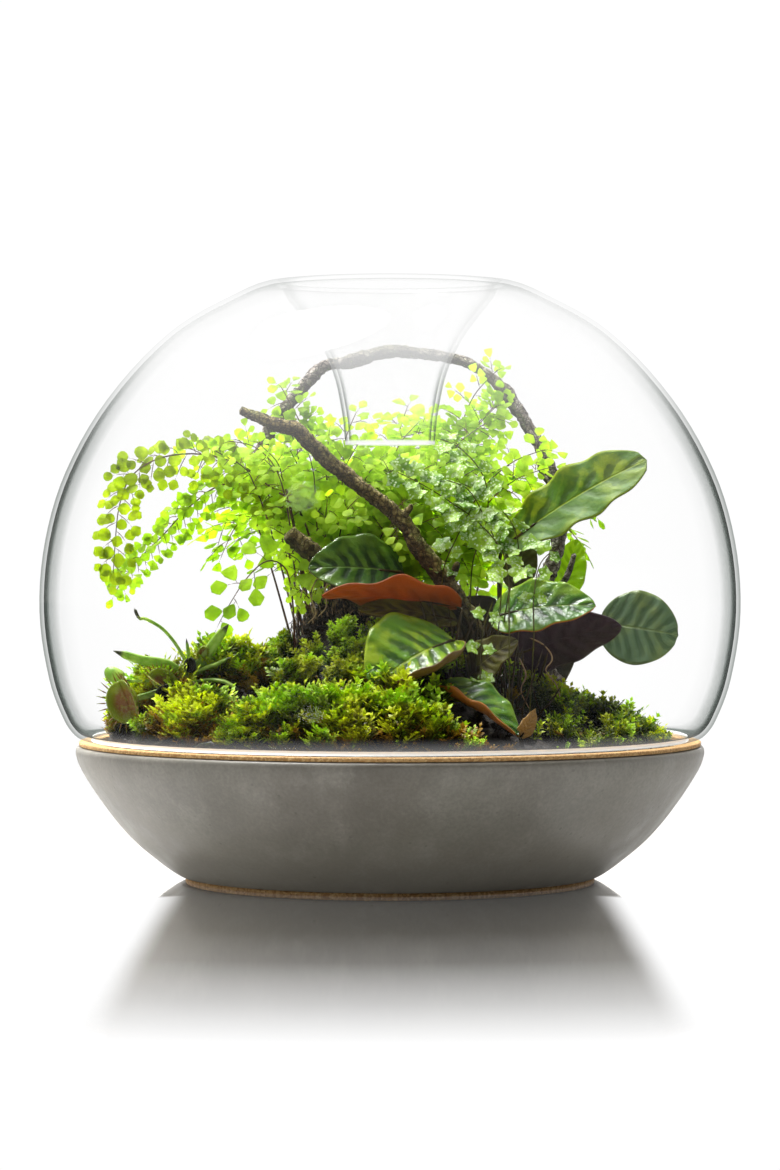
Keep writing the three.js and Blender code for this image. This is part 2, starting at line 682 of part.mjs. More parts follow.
const CREEPER = {
  front: { count: 7, seed: 201,
    route: [[66, -72], [62, -70, 150], [57, -57, 180], [47, -44, 205], [34, -36, 226], [20, -34, 236],
      [6, -34, 243]] },
  right: { count: 4, seed: 202,
    route: [[78, -58], [80, -64, 140], [80, -62, 160], [84, -50, 180], [94, -42, 190]] },
  low: { count: 4, seed: 203, length: 10,
    route: [[50, -74], [50, -78, 130], [52, -78, 146], [57, -76, 160]] },
  middle: { count: 6, seed: 204, from: 0.4,
    route: [[46, -6], [47, -11, 180], [55, -12, 204], [54, -12, 228], [40, -10, 246], [26, -10, 256]] },
};

// ---- Venus flytrap ----

// One lobe of a trap: a half round with long teeth, its straight side on the hinge.
function trapLobe(origin, hinge, face, radius) {
  const teeth = 5;
  const toothReach = 1.38;
  const hingeOverlap = 0.6;
  const points = [new THREE.Vector2(-radius, -hingeOverlap)];
  for (let index = 0; index <= 2 * teeth; index++) {
    const angle = Math.PI * (1 - index / (2 * teeth));
    const reach = radius * (index % 2 ? toothReach : 1);
    points.push(new THREE.Vector2(reach * Math.cos(angle), 0.85 * reach * Math.sin(angle)));
  }
  points.push(new THREE.Vector2(radius, -hingeOverlap));
  const extrusion = { depth: LEAF_THICKNESS, bevelEnabled: false };
  const geometry = new THREE.ExtrudeGeometry(new THREE.Shape(points), extrusion);
  geometry.translate(0, 0, -LEAF_THICKNESS / 2);
  const outward = face.clone().cross(hinge).normalize();
  const normal = hinge.clone().cross(outward);
  geometry.applyMatrix4(new THREE.Matrix4().makeBasis(hinge, outward, normal).setPosition(origin));
  return solidFrom(geometry);
}

function snapTrap(origin, hinge, opening, radius) {
  const axis = vector(hinge).normalize();
  const middle = vector(opening).normalize();
  const halfGape = 0.95;
  const lobes = [1, -1].map((side) => {
    const face = middle.clone().applyAxisAngle(axis, side * halfGape);
    return trapLobe(vector(origin), axis.clone().multiplyScalar(side), face, radius);
  });
  return lobes[0].add(lobes[1]);
}

// Traps at the ends of flat stalks, places counted from the crown just above the moss.
const TRAPS = [
  { reach: [-34, -13, -12], hinge: [-0.5, -0.75, 0.2], opening: [-0.5, -0.5, 0.7], radius: 11 },
  { reach: [-16, -21, -2], hinge: [-0.4, -0.8, 0.1], opening: [0.1, -0.4, 0.9], radius: 8 },
];
const FLAT_STALKS = [
  { reach: [-42, -3, 14], width: 6, arch: 3, face: [0, -0.5, 0.86] },
  { reach: [-43, -4, 2], width: 10, arch: 2, face: [0, -0.8, 0.6] },
  { reach: [22, -4, 26], width: 8, arch: -3, face: [-0.5, -0.7, 0.5] },
];
const FLOWER_STEM = [
  [0, 0, 0],
  [-3, 0, 12],
  [-14, -1, 27],
  [-25, -3, 34],
  [-30, -4, 39],
];

function venusFlytrap() {
  const [x, y] = [-112, -50];
  const crown = new THREE.Vector3(x, y, groundHeight(x, y) + 12);
  const from = (reach) => crown.clone().add(vector(reach)).toArray();
  const flatStalk = ({ reach, width = 8, arch = 4, face = [0, -0.5, 0.86] }) => {
    const shape = { base: crown.toArray(), tip: from(reach), face, width, arch };
    return blade({ ...shape, fold: 0.2, wave: 0, blunt: 1.3, rows: 3, columns: 2 }).solid;
  };
  let plant = stem([...rooted([[x, y]]), from([0, 0, 3])], 3, { tip: 0.8, steps: 4 });
  for (const stalk of FLAT_STALKS) plant = plant.add(flatStalk(stalk));
  for (const { reach, hinge, opening, radius } of TRAPS) {
    const intoTrap = vector(reach).setLength(vector(reach).length() + 2).toArray();
    plant = plant.add(flatStalk({ reach: intoTrap })).add(snapTrap(from(reach), hinge, opening, radius));
  }
  return plant.add(barAlong(curveThrough(FLOWER_STEM.map(from)), (share) => 1 - 0.4 * share, 3, 6));
}

// ---- Planting ----

addPiece("concrete_bowl", concreteBowl(), "concrete");
addPiece("cork_foot", corkFoot(), "cork");
addPiece("cork_gasket", corkGasket(), "cork");
addPiece("glass_dome", glassDome(), "glass");
addPiece("drainage_gravel", drainageGravel(), "gravel");

addPiece("driftwood_front", frontBranch(), "bark");
addPiece("driftwood_arch", archBranch(), "bark_dark");
addPiece("driftwood_stub", stubBranch(), "bark");
for (const [name, { colour, ...leaf }] of Object.entries(PRAYER_LEAVES)) {
  addPiece("prayer_leaf_" + name, prayerLeaf(leaf), colour);
}
addPiece("venus_flytrap", venusFlytrap(), "flytrap");

// The ground is known to the foliage before the holes in it are cut.
const grounds = [["soil", soilHeap(), "soil"]];
for (const [name, { colour, ...carpet }] of Object.entries(MOSS)) {
  grounds.push([name, mossCarpet(carpet), colour]);
}
placed.push(...grounds.map(([, solid]) => solid));
for (const [name, { colour, ...shape }] of Object.entries(FERN)) {
  addPiece("fern_" + name, frond(shape), colour);
}
for (const [name, shape] of Object.entries(CREEPER)) {
  addPiece("creeper_" + name, creeperSprig(shape), "creeper");
}

for (const [name, solid, colour] of grounds) {
  addPiece(name, stemHoles.reduce((left, hole) => left.subtract(hole), solid), colour);
}

export default terrarium;
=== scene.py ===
# %% [markdown]
# # A planted glass terrarium
#
# The real object is a hand-blown glass dome on a low concrete bowl. The top of the dome turns inwards and
# runs down as an open funnel, through which the plants are watered. Inside grow a maidenhair fern, a
# prayer plant, a silver creeper, a Venus flytrap and five kinds of moss, between pieces of driftwood.
#
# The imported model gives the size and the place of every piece. This lesson makes each of them again with
# finer shapes and real finishes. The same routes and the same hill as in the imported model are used, so
# every finer piece stands where its plain solid stands.

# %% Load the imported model
import math
import random

import bmesh
import bpy
from mathutils import Matrix, Vector, noise


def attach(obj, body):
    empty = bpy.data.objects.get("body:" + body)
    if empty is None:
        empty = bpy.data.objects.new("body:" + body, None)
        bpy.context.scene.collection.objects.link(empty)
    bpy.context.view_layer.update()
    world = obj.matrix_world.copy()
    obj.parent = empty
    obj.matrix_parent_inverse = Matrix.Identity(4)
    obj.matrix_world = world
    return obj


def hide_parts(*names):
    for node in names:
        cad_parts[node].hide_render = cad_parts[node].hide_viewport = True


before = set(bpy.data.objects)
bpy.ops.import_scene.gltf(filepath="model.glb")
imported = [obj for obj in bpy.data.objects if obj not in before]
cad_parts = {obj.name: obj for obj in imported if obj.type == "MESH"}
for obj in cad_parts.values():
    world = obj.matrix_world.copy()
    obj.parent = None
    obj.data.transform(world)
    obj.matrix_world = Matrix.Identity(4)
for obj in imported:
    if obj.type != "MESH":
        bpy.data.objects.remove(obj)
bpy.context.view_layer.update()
MM = 0.001  # lengths below are written in millimetres and made metres with this
print("the packed model holds", len(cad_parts), "nodes")

# %% [markdown]
# ## Two small helpers
#
# Every piece ends the same way: its bmesh becomes an object at the origin, it gets its materials, it is
# hung on the body that carries it, and the plain solids it stands for are hidden. One helper does
# that, so the cells below only have to make shapes.

# %% Turn a bmesh into a finished piece
def finish_piece(name, bm, materials, slot, replaced=(), smooth=True):
    mesh = bpy.data.meshes.new(name)
    bm.to_mesh(mesh)
    bm.free()
    for material in materials:
        mesh.materials.append(material)
    mesh.polygons.foreach_set("use_smooth", [smooth] * len(mesh.polygons))
    piece = bpy.data.objects.new(name, mesh)
    bpy.context.scene.collection.objects.link(piece)
    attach(piece, "root")
    if replaced:
        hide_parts(*replaced)
    print(f"{name}: {len(mesh.polygons)} faces")
    return piece


# %% [markdown]
# Blender's own way to a thin or a turned form is often a plain grid whose points are then moved. A leaf, a
# stem and the ground are all such grids here: a function says where the point at (u, v) goes, with u and v
# from 0 to 1. The grid also brings a UV map along, which the leaf patterns follow.

# %% Bend a grid into any sheet or tube
def bent_grid(bm, across, along, place):
    if not bm.loops.layers.uv:
        bm.loops.layers.uv.new("UVMap")
    grid = bmesh.ops.create_grid(bm, x_segments=along, y_segments=across, size=0.5, calc_uvs=True)
    for vert in grid["verts"]:
        vert.co = place(vert.co.x + 0.5, vert.co.y + 0.5)
    return grid["verts"]


# %% [markdown]
# ## Routes
#
# Stems and branches follow a few given points. A smooth line is drawn through them with Bezier
# spans, whose handles point along the chord between the neighbours. Each step also carries a side
# direction forward without twisting it, so that a tube laid along the route does not wring itself.

# %% A smooth line through a few points
class Route:
    def __init__(self, points, steps=8):
        knots = [Vector(point) * MM for point in points]
        ends = [2 * knots[0] - knots[1], *knots, 2 * knots[-1] - knots[-2]]
        self.points = [knots[0]]
        for before, start, end, after in zip(ends, ends[1:], ends[2:], ends[3:]):
            reach = (end - start).length / 3
            leave = start + (end - before).normalized() * reach
            arrive = end - (after - start).normalized() * reach
            for step in range(1, steps + 1):
                self.points.append(self.bezier(start, leave, arrive, end, step / steps))
        self.lengths = [0.0]
        for start, end in zip(self.points, self.points[1:]):
            self.lengths.append(self.lengths[-1] + (end - start).length)
        self.length = self.lengths[-1]
        tangent = (self.points[1] - self.points[0]).normalized()
        side = tangent.orthogonal().normalized()
        self.sides = []
        for index in range(len(self.points)):
            nearby = self.points[min(index + 1, len(self.points) - 1)] - self.points[max(index - 1, 0)]
            side = (side - nearby.normalized() * side.dot(nearby.normalized())).normalized()
            self.sides.append(side)

    @staticmethod
    def bezier(start, leave, arrive, end, share):
        rest = 1 - share
        return start * rest**3 + leave * 3 * rest**2 * share + arrive * 3 * rest * share**2 + end * share**3

    def at(self, share):
        """The point, the direction and the side direction at a share of the whole length."""
        goal = min(max(share, 0.0), 1.0) * self.length
        index = 0
        while index < len(self.lengths) - 2 and self.lengths[index + 1] < goal:
            index += 1
        span = self.lengths[index + 1] - self.lengths[index]
        part = (goal - self.lengths[index]) / span
        start, end = self.points[index], self.points[index + 1]
        side = self.sides[index].lerp(self.sides[index + 1], part).normalized()
        return start.lerp(end, part), (end - start).normalized(), side


# %% [markdown]
# A stem is a grid wrapped round its route. Its long edges meet and are merged, and its ends narrow to a
# point, which closes it without any cap.

# %% Wrap a tube round a route
def tube(bm, route, radius, around, along):
    """radius is in metres: a function of the share of length and the angle, both from 0 to 1."""
    frames = [route.at(row / along) for row in range(along + 1)]

    def place(u, v):
        point, heading, side = frames[round(u * along)]
        other = heading.cross(side)
        angle = 2 * math.pi * v
        closed = 0.0 if u < 1e-6 or u > 1 - 1e-6 else 1.0
        reach = radius(u, v % 1.0) * closed
        return point + side * math.cos(angle) * reach + other * math.sin(angle) * reach

    verts = bent_grid(bm, around, along, place)
    bmesh.ops.remove_doubles(bm, verts=verts, dist=1e-6)


# %% [markdown]
# ## The ground
#
# The soil is heaped to a hill, with a low ridge on the left, a rise on the right and the root ball of the
# fern on top. The same formula shapes the packed soil. Everything that grows asks it for its height.

# %% The height of the bare soil, in millimetres
GROUND_RADIUS = 162
EDGE_HEIGHT = 74
HILL_HEIGHT = 72


def bell(offset, width):
    return math.exp(-((offset / width) ** 2))


def ground_height(x, y):
    depth = 95 if y < 0 else 78
    hill = HILL_HEIGHT * bell(x + 8, 76) * bell(y - 4, depth)
    ridge = 28 * bell(x + 118, 44) * bell(y + 30, 58)
    rise = 12 * bell(x - 100, 48) * bell(y + 10, 60)
    root_ball = 13 * bell(x + 37, 15) * bell(y, 20)
    edge_fade = max(0.0, 1 - (math.hypot(x, y) / (GROUND_RADIUS + 6)) ** 8)
    return EDGE_HEIGHT + (hill + ridge + rise) * edge_fade + root_ball


def ground_normal(x, y):
    step = 2.0  # how far to each side the height is felt
    slope_x = (ground_height(x + step, y) - ground_height(x - step, y)) / (2 * step)
    slope_y = (ground_height(x, y + step) - ground_height(x, y - step)) / (2 * step)
    return Vector((-slope_x, -slope_y, 1)).normalized()


def around_axis(radius, angle):
    return radius * math.cos(angle), radius * math.sin(angle)


print("the hill's top is", round(ground_height(-8, 4)), "mm up")

# %% [markdown]
# ## Making materials
#
# Materials are small graphs of nodes. The helpers below only save typing: add makes a node, sets its
# settings and fills its inputs, with a plain value or with another node's output. Colours are linear.

# %% Helpers for node graphs
WHITE = (1, 1, 1, 1)


def new_material(name):
    material = bpy.data.materials.new(name)
    material.use_nodes = True
    material.node_tree.nodes.clear()
    return material, material.node_tree


def add(tree, kind, inputs=None, **settings):
    node = tree.nodes.new(kind)
    for key, value in settings.items():
        setattr(node, key, value)
    for key, value in (inputs or {}).items():
        if isinstance(value, bpy.types.NodeSocket):
            tree.links.new(value, node.inputs[key])
        else:
            node.inputs[key].default_value = value
    return node


def object_place(tree):
    return add(tree, "ShaderNodeTexCoord").outputs["Object"]


def split(tree, vector):
    """A vector's parts, to be asked for by the names X, Y and Z."""
    return add(tree, "ShaderNodeSeparateXYZ", {"Vector": vector}).outputs


def uv_place(tree):
    return split(tree, add(tree, "ShaderNodeUVMap", uv_map="UVMap").outputs[0])


def calc(tree, operation, first, second=0.0, clamp=False):
    inputs = {0: first} if operation in ("SINE", "ABSOLUTE", "FRACT") else {0: first, 1: second}
    return add(tree, "ShaderNodeMath", inputs, operation=operation, use_clamp=clamp).outputs[0]


def spread(tree, value, low, high, to_low=0.0, to_high=1.0):
    inputs = {"Value": value, "From Min": low, "From Max": high, "To Min": to_low, "To Max": to_high}
    return add(tree, "ShaderNodeMapRange", inputs, interpolation_type="SMOOTHSTEP").outputs["Result"]


def clouds(tree, place, scale, detail, roughness=0.55):
    inputs = {"Vector": place, "Scale": scale, "Detail": detail, "Roughness": roughness}
    return add(tree, "ShaderNodeTexNoise", inputs).outputs["Fac"]


def cells(tree, place, scale, feature="F1"):
    node = add(tree, "ShaderNodeTexVoronoi", {"Vector": place, "Scale": scale}, feature=feature)
    return node.outputs["Distance"]


def ramp(tree, value, stops):
    node = add(tree, "ShaderNodeValToRGB", {"Fac": value})
    elements = node.color_ramp.elements
    while len(elements) < len(stops):
        elements.new(0.5)
    for element, (position, colour) in zip(elements, stops):
        element.position = position
        element.color = (*colour, 1)
    return node.outputs["Color"]


def blend(tree, share, first, second, blend_type="MIX"):
    node = add(tree, "ShaderNodeMix", {"Factor": share}, data_type="RGBA", blend_type=blend_type)
    for socket, value in ((node.inputs[6], first), (node.inputs[7], second)):
        if isinstance(value, bpy.types.NodeSocket):
            tree.links.new(value, socket)
        else:
            socket.default_value = (*value, 1)
    return node.outputs[2]


def bump(tree, height, strength, distance):
    inputs = {"Height": height, "Strength": strength, "Distance": distance}
    return add(tree, "ShaderNodeBump", inputs).outputs["Normal"]


def show(tree, shader):
    add(tree, "ShaderNodeOutputMaterial", {"Surface": shader.outputs[0]})


def surface(tree, inputs):
    return add(tree, "ShaderNodeBsdfPrincipled", inputs)


def mix_shaders(tree, share, first, second):
    return add(tree, "ShaderNodeMixShader", {"Fac": share, 1: first.outputs[0], 2: second.outputs[0]})


# %% [markdown]
# Light comes through thin leaves. A leaf's shader is therefore part ordinary surface, part translucent:
# the translucent part passes light from one side to the other, and glows where the lamp is behind it.

# %% The shader that all foliage shares
def leafy(tree, colour, glow, roughness, through, normal=None, gloss=0.4):
    inputs = {"Base Color": colour, "Roughness": roughness, "Specular IOR Level": gloss}
    if normal:
        inputs["Normal"] = normal
    skin = surface(tree, inputs)
    inner = add(tree, "ShaderNodeBsdfTranslucent", {"Color": glow})
    show(tree, mix_shaders(tree, through, skin, inner))


# %% [markdown]
# ## Concrete
#
# The bowl is cast concrete: grey, slightly warm, with broad cloudy patches, finer mottling and a few small
# pits. Three noises of different sizes are laid over one another, and the finest also roughens the surface.
# Low down, where the bowl turns under, it is painted paler: a painted bounce light from the floor.

# %% Cast concrete
# painted bounce light: below this height the concrete is painted paler
PAINTED_BOUNCE_BELOW = 0.055  # metres above the table


def concrete_finish():
    material, tree = new_material("cast_concrete")
    place = object_place(tree)
    broad = clouds(tree, place, 8, 5, 0.62)
    tall = add(tree, "ShaderNodeMapping", {"Vector": place, "Scale": (1.0, 1.0, 0.45)}).outputs[0]
    mottle = clouds(tree, tall, 46, 6, 0.68)
    grain = clouds(tree, place, 520, 3, 0.6)
    base = ramp(tree, broad, [(0.30, (0.118, 0.106, 0.083)), (0.50, (0.168, 0.154, 0.124)),
                              (0.62, (0.205, 0.194, 0.160)), (0.75, (0.265, 0.252, 0.212))])
    mottled = blend(tree, spread(tree, mottle, 0.46, 0.70, 0.0, 0.55), base, (0.27, 0.255, 0.215))
    fine = blend(tree, spread(tree, grain, 0.3, 0.7, 0.0, 0.28), mottled, (0.07, 0.064, 0.053))
    pits = spread(tree, cells(tree, place, 95), 0.05, 0.11, 1.0, 0.0)
    # painted bounce light: paler towards the foot, strongest at the table
    painted_bounce = spread(tree, split(tree, place)["Z"], 0.0, PAINTED_BOUNCE_BELOW, 0.45, 0.0)
    with_painted_bounce = blend(tree, painted_bounce, fine, (0.34, 0.32, 0.27))
    colour = blend(tree, calc(tree, "MULTIPLY", pits, 0.3), with_painted_bounce, (0.06, 0.055, 0.045))
    height = calc(tree, "SUBTRACT", calc(tree, "ADD", grain, calc(tree, "MULTIPLY", mottle, 1.4)), pits)
    rough = spread(tree, mottle, 0.3, 0.7, 0.34, 0.52)
    show(tree, surface(tree, {"Base Color": colour, "Roughness": rough, "Specular IOR Level": 0.6,
                              "Normal": bump(tree, height, 0.2, 0.0005)}))
    return material


# %% [markdown]
# ## The bowl
#
# A turned form is one outline spun about the axis. The outline goes up the outside, over the softened rim
# and down the hollow. Spinning a few listed points gives facets, so the outline is first smoothed with
# the same route that the stems use, and then spun in small steps.

# %% Spin an outline into a turned piece
TURNS = 128


def spun(profile, closed=False, smooth_steps=6):
    """profile holds (radius, height) in millimetres. A closed one is a ring's own outline."""
    points = [(radius, 0, height) for radius, height in profile]
    if smooth_steps:
        line = Route(points, smooth_steps).points
    else:
        line = [Vector(point) * MM for point in points]
    bm = bmesh.new()
    verts = [bm.verts.new(point) for point in line]
    edges = [bm.edges.new(pair) for pair in zip(verts, verts[1:])]
    if closed:
        edges.append(bm.edges.new((verts[-1], verts[0])))
    bmesh.ops.spin(bm, geom=verts + edges, cent=(0, 0, 0), axis=(0, 0, 1), angle=2 * math.pi,
                   steps=TURNS, use_merge=True)
    bmesh.ops.remove_doubles(bm, verts=bm.verts, dist=1e-6)
    bmesh.ops.recalc_face_normals(bm, faces=bm.faces)
    return bm


# %% The concrete bowl
BOWL_OUTSIDE = [(0, 2.3), (60, 2.3), (117, 2.3), (119.6, 2.5), (125, 5.6), (131.5, 10.3), (145.3, 21.8),
                (156, 33.4), (165, 45.4), (172.2, 56.2), (177.2, 65), (179.2, 71), (179.4, 74.2),
                (178.4, 76.0), (176.6, 76.5)]
BOWL_INSIDE = [(170, 76.5), (168, 76.2), (166.6, 74.5), (159, 57), (143, 37), (120, 21), (96, 15), (40, 15),
               (0, 15)]
concrete = concrete_finish()
finish_piece("bowl_concrete", spun(BOWL_OUTSIDE + BOWL_INSIDE), [concrete], "concrete", ["concrete_bowl"])

# %% [markdown]
# ## Cork
#
# Pressed cork is a mass of small tan grains with dark joints. Voronoi cells give each grain its own tone.
# Two pieces are cork: the foot under the bowl and the gasket on which the glass rests.

# %% Pressed cork
CORK_GRAINS = 900  # cells to the metre


def cork_finish():
    material, tree = new_material("pressed_cork")
    place = object_place(tree)
    grains = add(tree, "ShaderNodeTexVoronoi", {"Vector": place, "Scale": CORK_GRAINS}).outputs["Color"]
    tone = add(tree, "ShaderNodeSeparateColor", {"Color": grains}).outputs[0]
    colour = ramp(tree, tone, [(0.0, (0.33, 0.17, 0.055)), (0.5, (0.48, 0.28, 0.10)),
                               (1.0, (0.62, 0.41, 0.19))])
    joint = cells(tree, place, CORK_GRAINS, "DISTANCE_TO_EDGE")
    darker = blend(tree, spread(tree, joint, 0.0, 0.05, 0.45, 0.0), colour, (0.20, 0.11, 0.04))
    show(tree, surface(tree, {"Base Color": darker, "Roughness": 0.85,
                              "Normal": bump(tree, joint, 0.3, 0.0002)}))
    return material


# %% The cork foot and gasket
cork = cork_finish()
FOOT = [(0, 0), (116.4, 0), (117, 0.6), (117, 1.5), (116.5, 2), (0, 2)]
GASKET = [(169.2, 76.8), (177.2, 76.8), (177.6, 77.2), (177.6, 78.6), (177.2, 79), (169.2, 79), (168.8, 78.6),
          (168.8, 77.2)]
finish_piece("foot_cork", spun(FOOT, smooth_steps=0), [cork], "cork", ["cork_foot"], smooth=False)
gasket = spun(GASKET, closed=True, smooth_steps=0)
finish_piece("gasket_cork", gasket, [cork], "cork", ["cork_gasket"], smooth=False)

# %% [markdown]
# ## Blown glass
#
# Clear glass is hardest where it is seen edge on. There the eye looks through much more of it, and it
# darkens to a grey green. A shader with real refraction would stop the lamps from reaching the plants, so
# the wall is made of two thin skins instead. Each lets light straight through, darkens it at a grazing
# angle, which Layer Weight gives, and adds a weak mirror gloss. The inner skin darkens most, because the
# eye meets it where the wall is deepest. High up, the lamps stand above the glass: its edge fades there,
# and a faint painted glare, a white emission, lies over it. A weaker painted glare lies low by the foot,
# and the lowest rim of the funnel has a painted white glow.

# %% Clear glass, darker edge on
FADED, CREST_FADED = 0.86, 0.62  # how much of the dark edge is lost high up, and how much at the crest
CREST_FROM, CREST_TO = 0.330, 0.342
# painted glare: above this height the white emission over the glass is at its full strength
PAINTED_GLARE_FULL_FROM = 0.31  # above this height the white veil has its full strength


def glass_finish(name, passes, fade, gloss, painted_glare, lip_painted_glow=0.0):
    """passes: how much light each angle lets through. fade: the heights between which darkness ends.
    gloss: the angle at which the mirror gloss sets in, its strength there and its strength edge on.
    veil: how strong the painted white glare is high up. lip: how strong the painted white glow on the lowest
    rim of the funnel is."""
    material, tree = new_material(name)
    facing = add(tree, "ShaderNodeLayerWeight", {"Blend": 0.5}).outputs["Facing"]
    height = split(tree, object_place(tree))["Z"]
    tints = [(at, (1.05 * share - 0.05, share, 1.03 * share - 0.03)) for at, share in passes]
    paler = calc(tree, "MINIMUM", spread(tree, height, *fade, 0.0, FADED),
                 spread(tree, height, CREST_FROM, CREST_TO, FADED, CREST_FADED))
    faded = blend(tree, paler, ramp(tree, facing, tints), (0.998, 0.998, 0.998))
    clear = add(tree, "ShaderNodeBsdfTransparent", {"Color": faded})
    mirror = add(tree, "ShaderNodeBsdfGlossy", {"Color": WHITE, "Roughness": 0.02})
    from_angle, weakest, strongest = gloss
    glazed = mix_shaders(tree, spread(tree, facing, from_angle, 1.0, weakest, strongest), clear, mirror)
    # painted glare and glow: a white emission mixed in high up, low by the foot and on the funnel's lowest rim
    painted_glare_top = spread(tree, height, fade[0] - 0.02, PAINTED_GLARE_FULL_FROM, 0.0, painted_glare)
    painted_glare_foot = spread(tree, height, 0.080, 0.090, 0.08, 0.0)
    painted_glow_lip = spread(tree, height, 0.2494, 0.2510, lip_painted_glow, 0.0)
    painted_glow_share = calc(tree, "ADD", calc(tree, "MAXIMUM", painted_glare_top, painted_glow_lip), painted_glare_foot)
    white = add(tree, "ShaderNodeEmission", {"Color": WHITE, "Strength": 1.0})
    show(tree, mix_shaders(tree, painted_glow_share, glazed, white))
    return material


def ground_edge_finish():
    material, tree = new_material("ground_glass_edge_painted_glow")
    tone = clouds(tree, object_place(tree), 300, 2)
    colour = ramp(tree, tone, [(0.3, (0.85, 0.88, 0.86)), (0.7, (0.95, 0.97, 0.96))])
    # the ground edge is pale frosted glass, and its emission is a painted white glow
    show(tree, surface(tree, {"Base Color": colour, "Roughness": 0.35, "Emission Color": WHITE,
                              "Emission Strength": 0.2}))
    return material


# %% The glass dome
GLASS_THICKNESS = 2.5 * MM
GLASS_MIDLINE = [(170.3, 80.7), (177.8, 82.6), (184.6, 91.2), (193.2, 114.6), (198.75, 153), (195.6, 193),
                 (184, 232), (160.5, 273), (126, 310.4), (92, 331), (65, 340.6), (57, 331), (41, 310),
                 (31.5, 290), (26.2, 266), (24.4, 248.2)]
FUNNEL_RADIUS, FUNNEL_FROM = 66 * MM, 240 * MM  # the funnel is the glass inside this radius, above this
FOOT_RADIUS, FOOT_TOP = 171 * MM, 81 * MM  # the ground edge on which the dome rests
LIP_RADIUS, LIP_TOP = 27 * MM, 248.6 * MM  # the ground edge of the funnel's throat
OUTER_PASSES = [(0.0, 1.0), (0.62, 0.99), (0.80, 0.95), (0.87, 0.74), (0.94, 0.58), (1.0, 0.66)]
INNER_PASSES = [(0.0, 1.0), (0.58, 0.99), (0.70, 0.95), (0.755, 0.80), (0.82, 0.68), (0.875, 0.26),
                (1.0, 0.10)]
FUNNEL_PASSES = [(0.0, 1.0), (0.50, 0.998), (0.62, 0.94), (0.70, 0.72), (0.78, 0.52), (0.90, 0.42),
                 (1.0, 0.6)]
WALL_FADE, FUNNEL_FADE = (0.235, 0.315), (0.275, 0.310)
dome_finishes = [
    glass_finish("clear_glass_outer", OUTER_PASSES, WALL_FADE, gloss=(0.5, 0.004, 0.05), painted_glare=0.16),
    glass_finish("clear_glass_inner", INNER_PASSES, WALL_FADE, gloss=(0.5, 0.004, 0.03), painted_glare=0.16),
    glass_finish("clear_glass_funnel", FUNNEL_PASSES, FUNNEL_FADE, gloss=(0.80, 0.006, 0.5), painted_glare=0.14,
                 lip_painted_glow=0.6),
    ground_edge_finish(),
]
OUTER, INNER, FUNNEL, GROUND_EDGE = range(4)


def glass_shell():
    """The middle of the wall is spun, pushed out by half the wall, and given its thickness inwards."""
    bm = spun(GLASS_MIDLINE, smooth_steps=5)
    bm.normal_update()
    widest = max(bm.faces, key=lambda face: face.calc_center_median().xy.length)
    centre = widest.calc_center_median()
    if widest.normal.xy.dot(centre.xy) < 0:
        bmesh.ops.reverse_faces(bm, faces=bm.faces)
    bm.normal_update()
    for vert in bm.verts:
        vert.co += vert.normal * GLASS_THICKNESS / 2
    outside = set(bm.faces)
    bmesh.ops.solidify(bm, geom=list(bm.faces), thickness=GLASS_THICKNESS)
    bm.normal_update()
    for face in bm.faces:
        middle = face.calc_center_median()
        radius = middle.xy.length
        at_foot = middle.z < FOOT_TOP and radius < FOOT_RADIUS
        at_lip = radius < LIP_RADIUS and middle.z < LIP_TOP
        if (at_foot or at_lip) and face not in outside:
            face.material_index = GROUND_EDGE
        elif radius < FUNNEL_RADIUS and middle.z > FUNNEL_FROM:
            face.material_index = FUNNEL
        else:
            face.material_index = OUTER if face in outside else INNER
    print("glass is", round(2 * max(vert.co.x for vert in bm.verts) / MM, 1), "mm across")
    return bm


finish_piece("dome_glass", glass_shell(), dome_finishes, "clear_glass", ["glass_dome"])

# %% [markdown]
# ## Gravel and soil
#
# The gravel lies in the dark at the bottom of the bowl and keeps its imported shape. The soil is damp, nearly
# black and crumbly. It is one grid bent round the axis: the first part is its surface, with lumps from a
# noise, and the last part runs down the side of the bowl and under.

# %% Damp soil and dusty gravel
def soil_finish():
    material, tree = new_material("damp_soil")
    place = object_place(tree)
    crumbs = cells(tree, place, 260)
    patches = clouds(tree, place, 60, 6, 0.7)
    colour = ramp(tree, patches, [(0.3, (0.007, 0.005, 0.003)), (0.55, (0.022, 0.014, 0.008)),
                                  (0.8, (0.06, 0.036, 0.018))])
    height = calc(tree, "ADD", crumbs, patches)
    wet = spread(tree, patches, 0.35, 0.6, 0.45, 0.9)
    show(tree, surface(tree, {"Base Color": colour, "Roughness": wet,
                              "Normal": bump(tree, height, 0.8, 0.0015)}))
    return material


def gravel_finish():
    material, tree = new_material("dusty_gravel")
    place = object_place(tree)
    tone = clouds(tree, place, 150, 3)
    colour = ramp(tree, tone, [(0.3, (0.16, 0.15, 0.14)), (0.7, (0.4, 0.39, 0.37))])
    show(tree, surface(tree, {"Base Color": colour, "Roughness": 0.9,
                              "Normal": bump(tree, cells(tree, place, 120), 0.8, 0.002)}))
    return material


soil_dark = soil_finish()
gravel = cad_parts["drainage_gravel"].data
gravel.materials.clear()
gravel.materials.append(gravel_finish())

# %% The soil heap
SOIL_SIDE = [(157.6, 57.6), (138.6, 36.5), (0, 36.5)]  # radius and height, down the bowl and under
SURFACE_SHARE = 0.85  # how much of the grid's length is surface
LUMP_SIZE, LUMP_HEIGHT = 9.0, 2.2


def lumpy(x, y):
    return LUMP_HEIGHT * noise.fractal(Vector((x / LUMP_SIZE, y / LUMP_SIZE, 3.7)), 0.9, 2.1, 4)


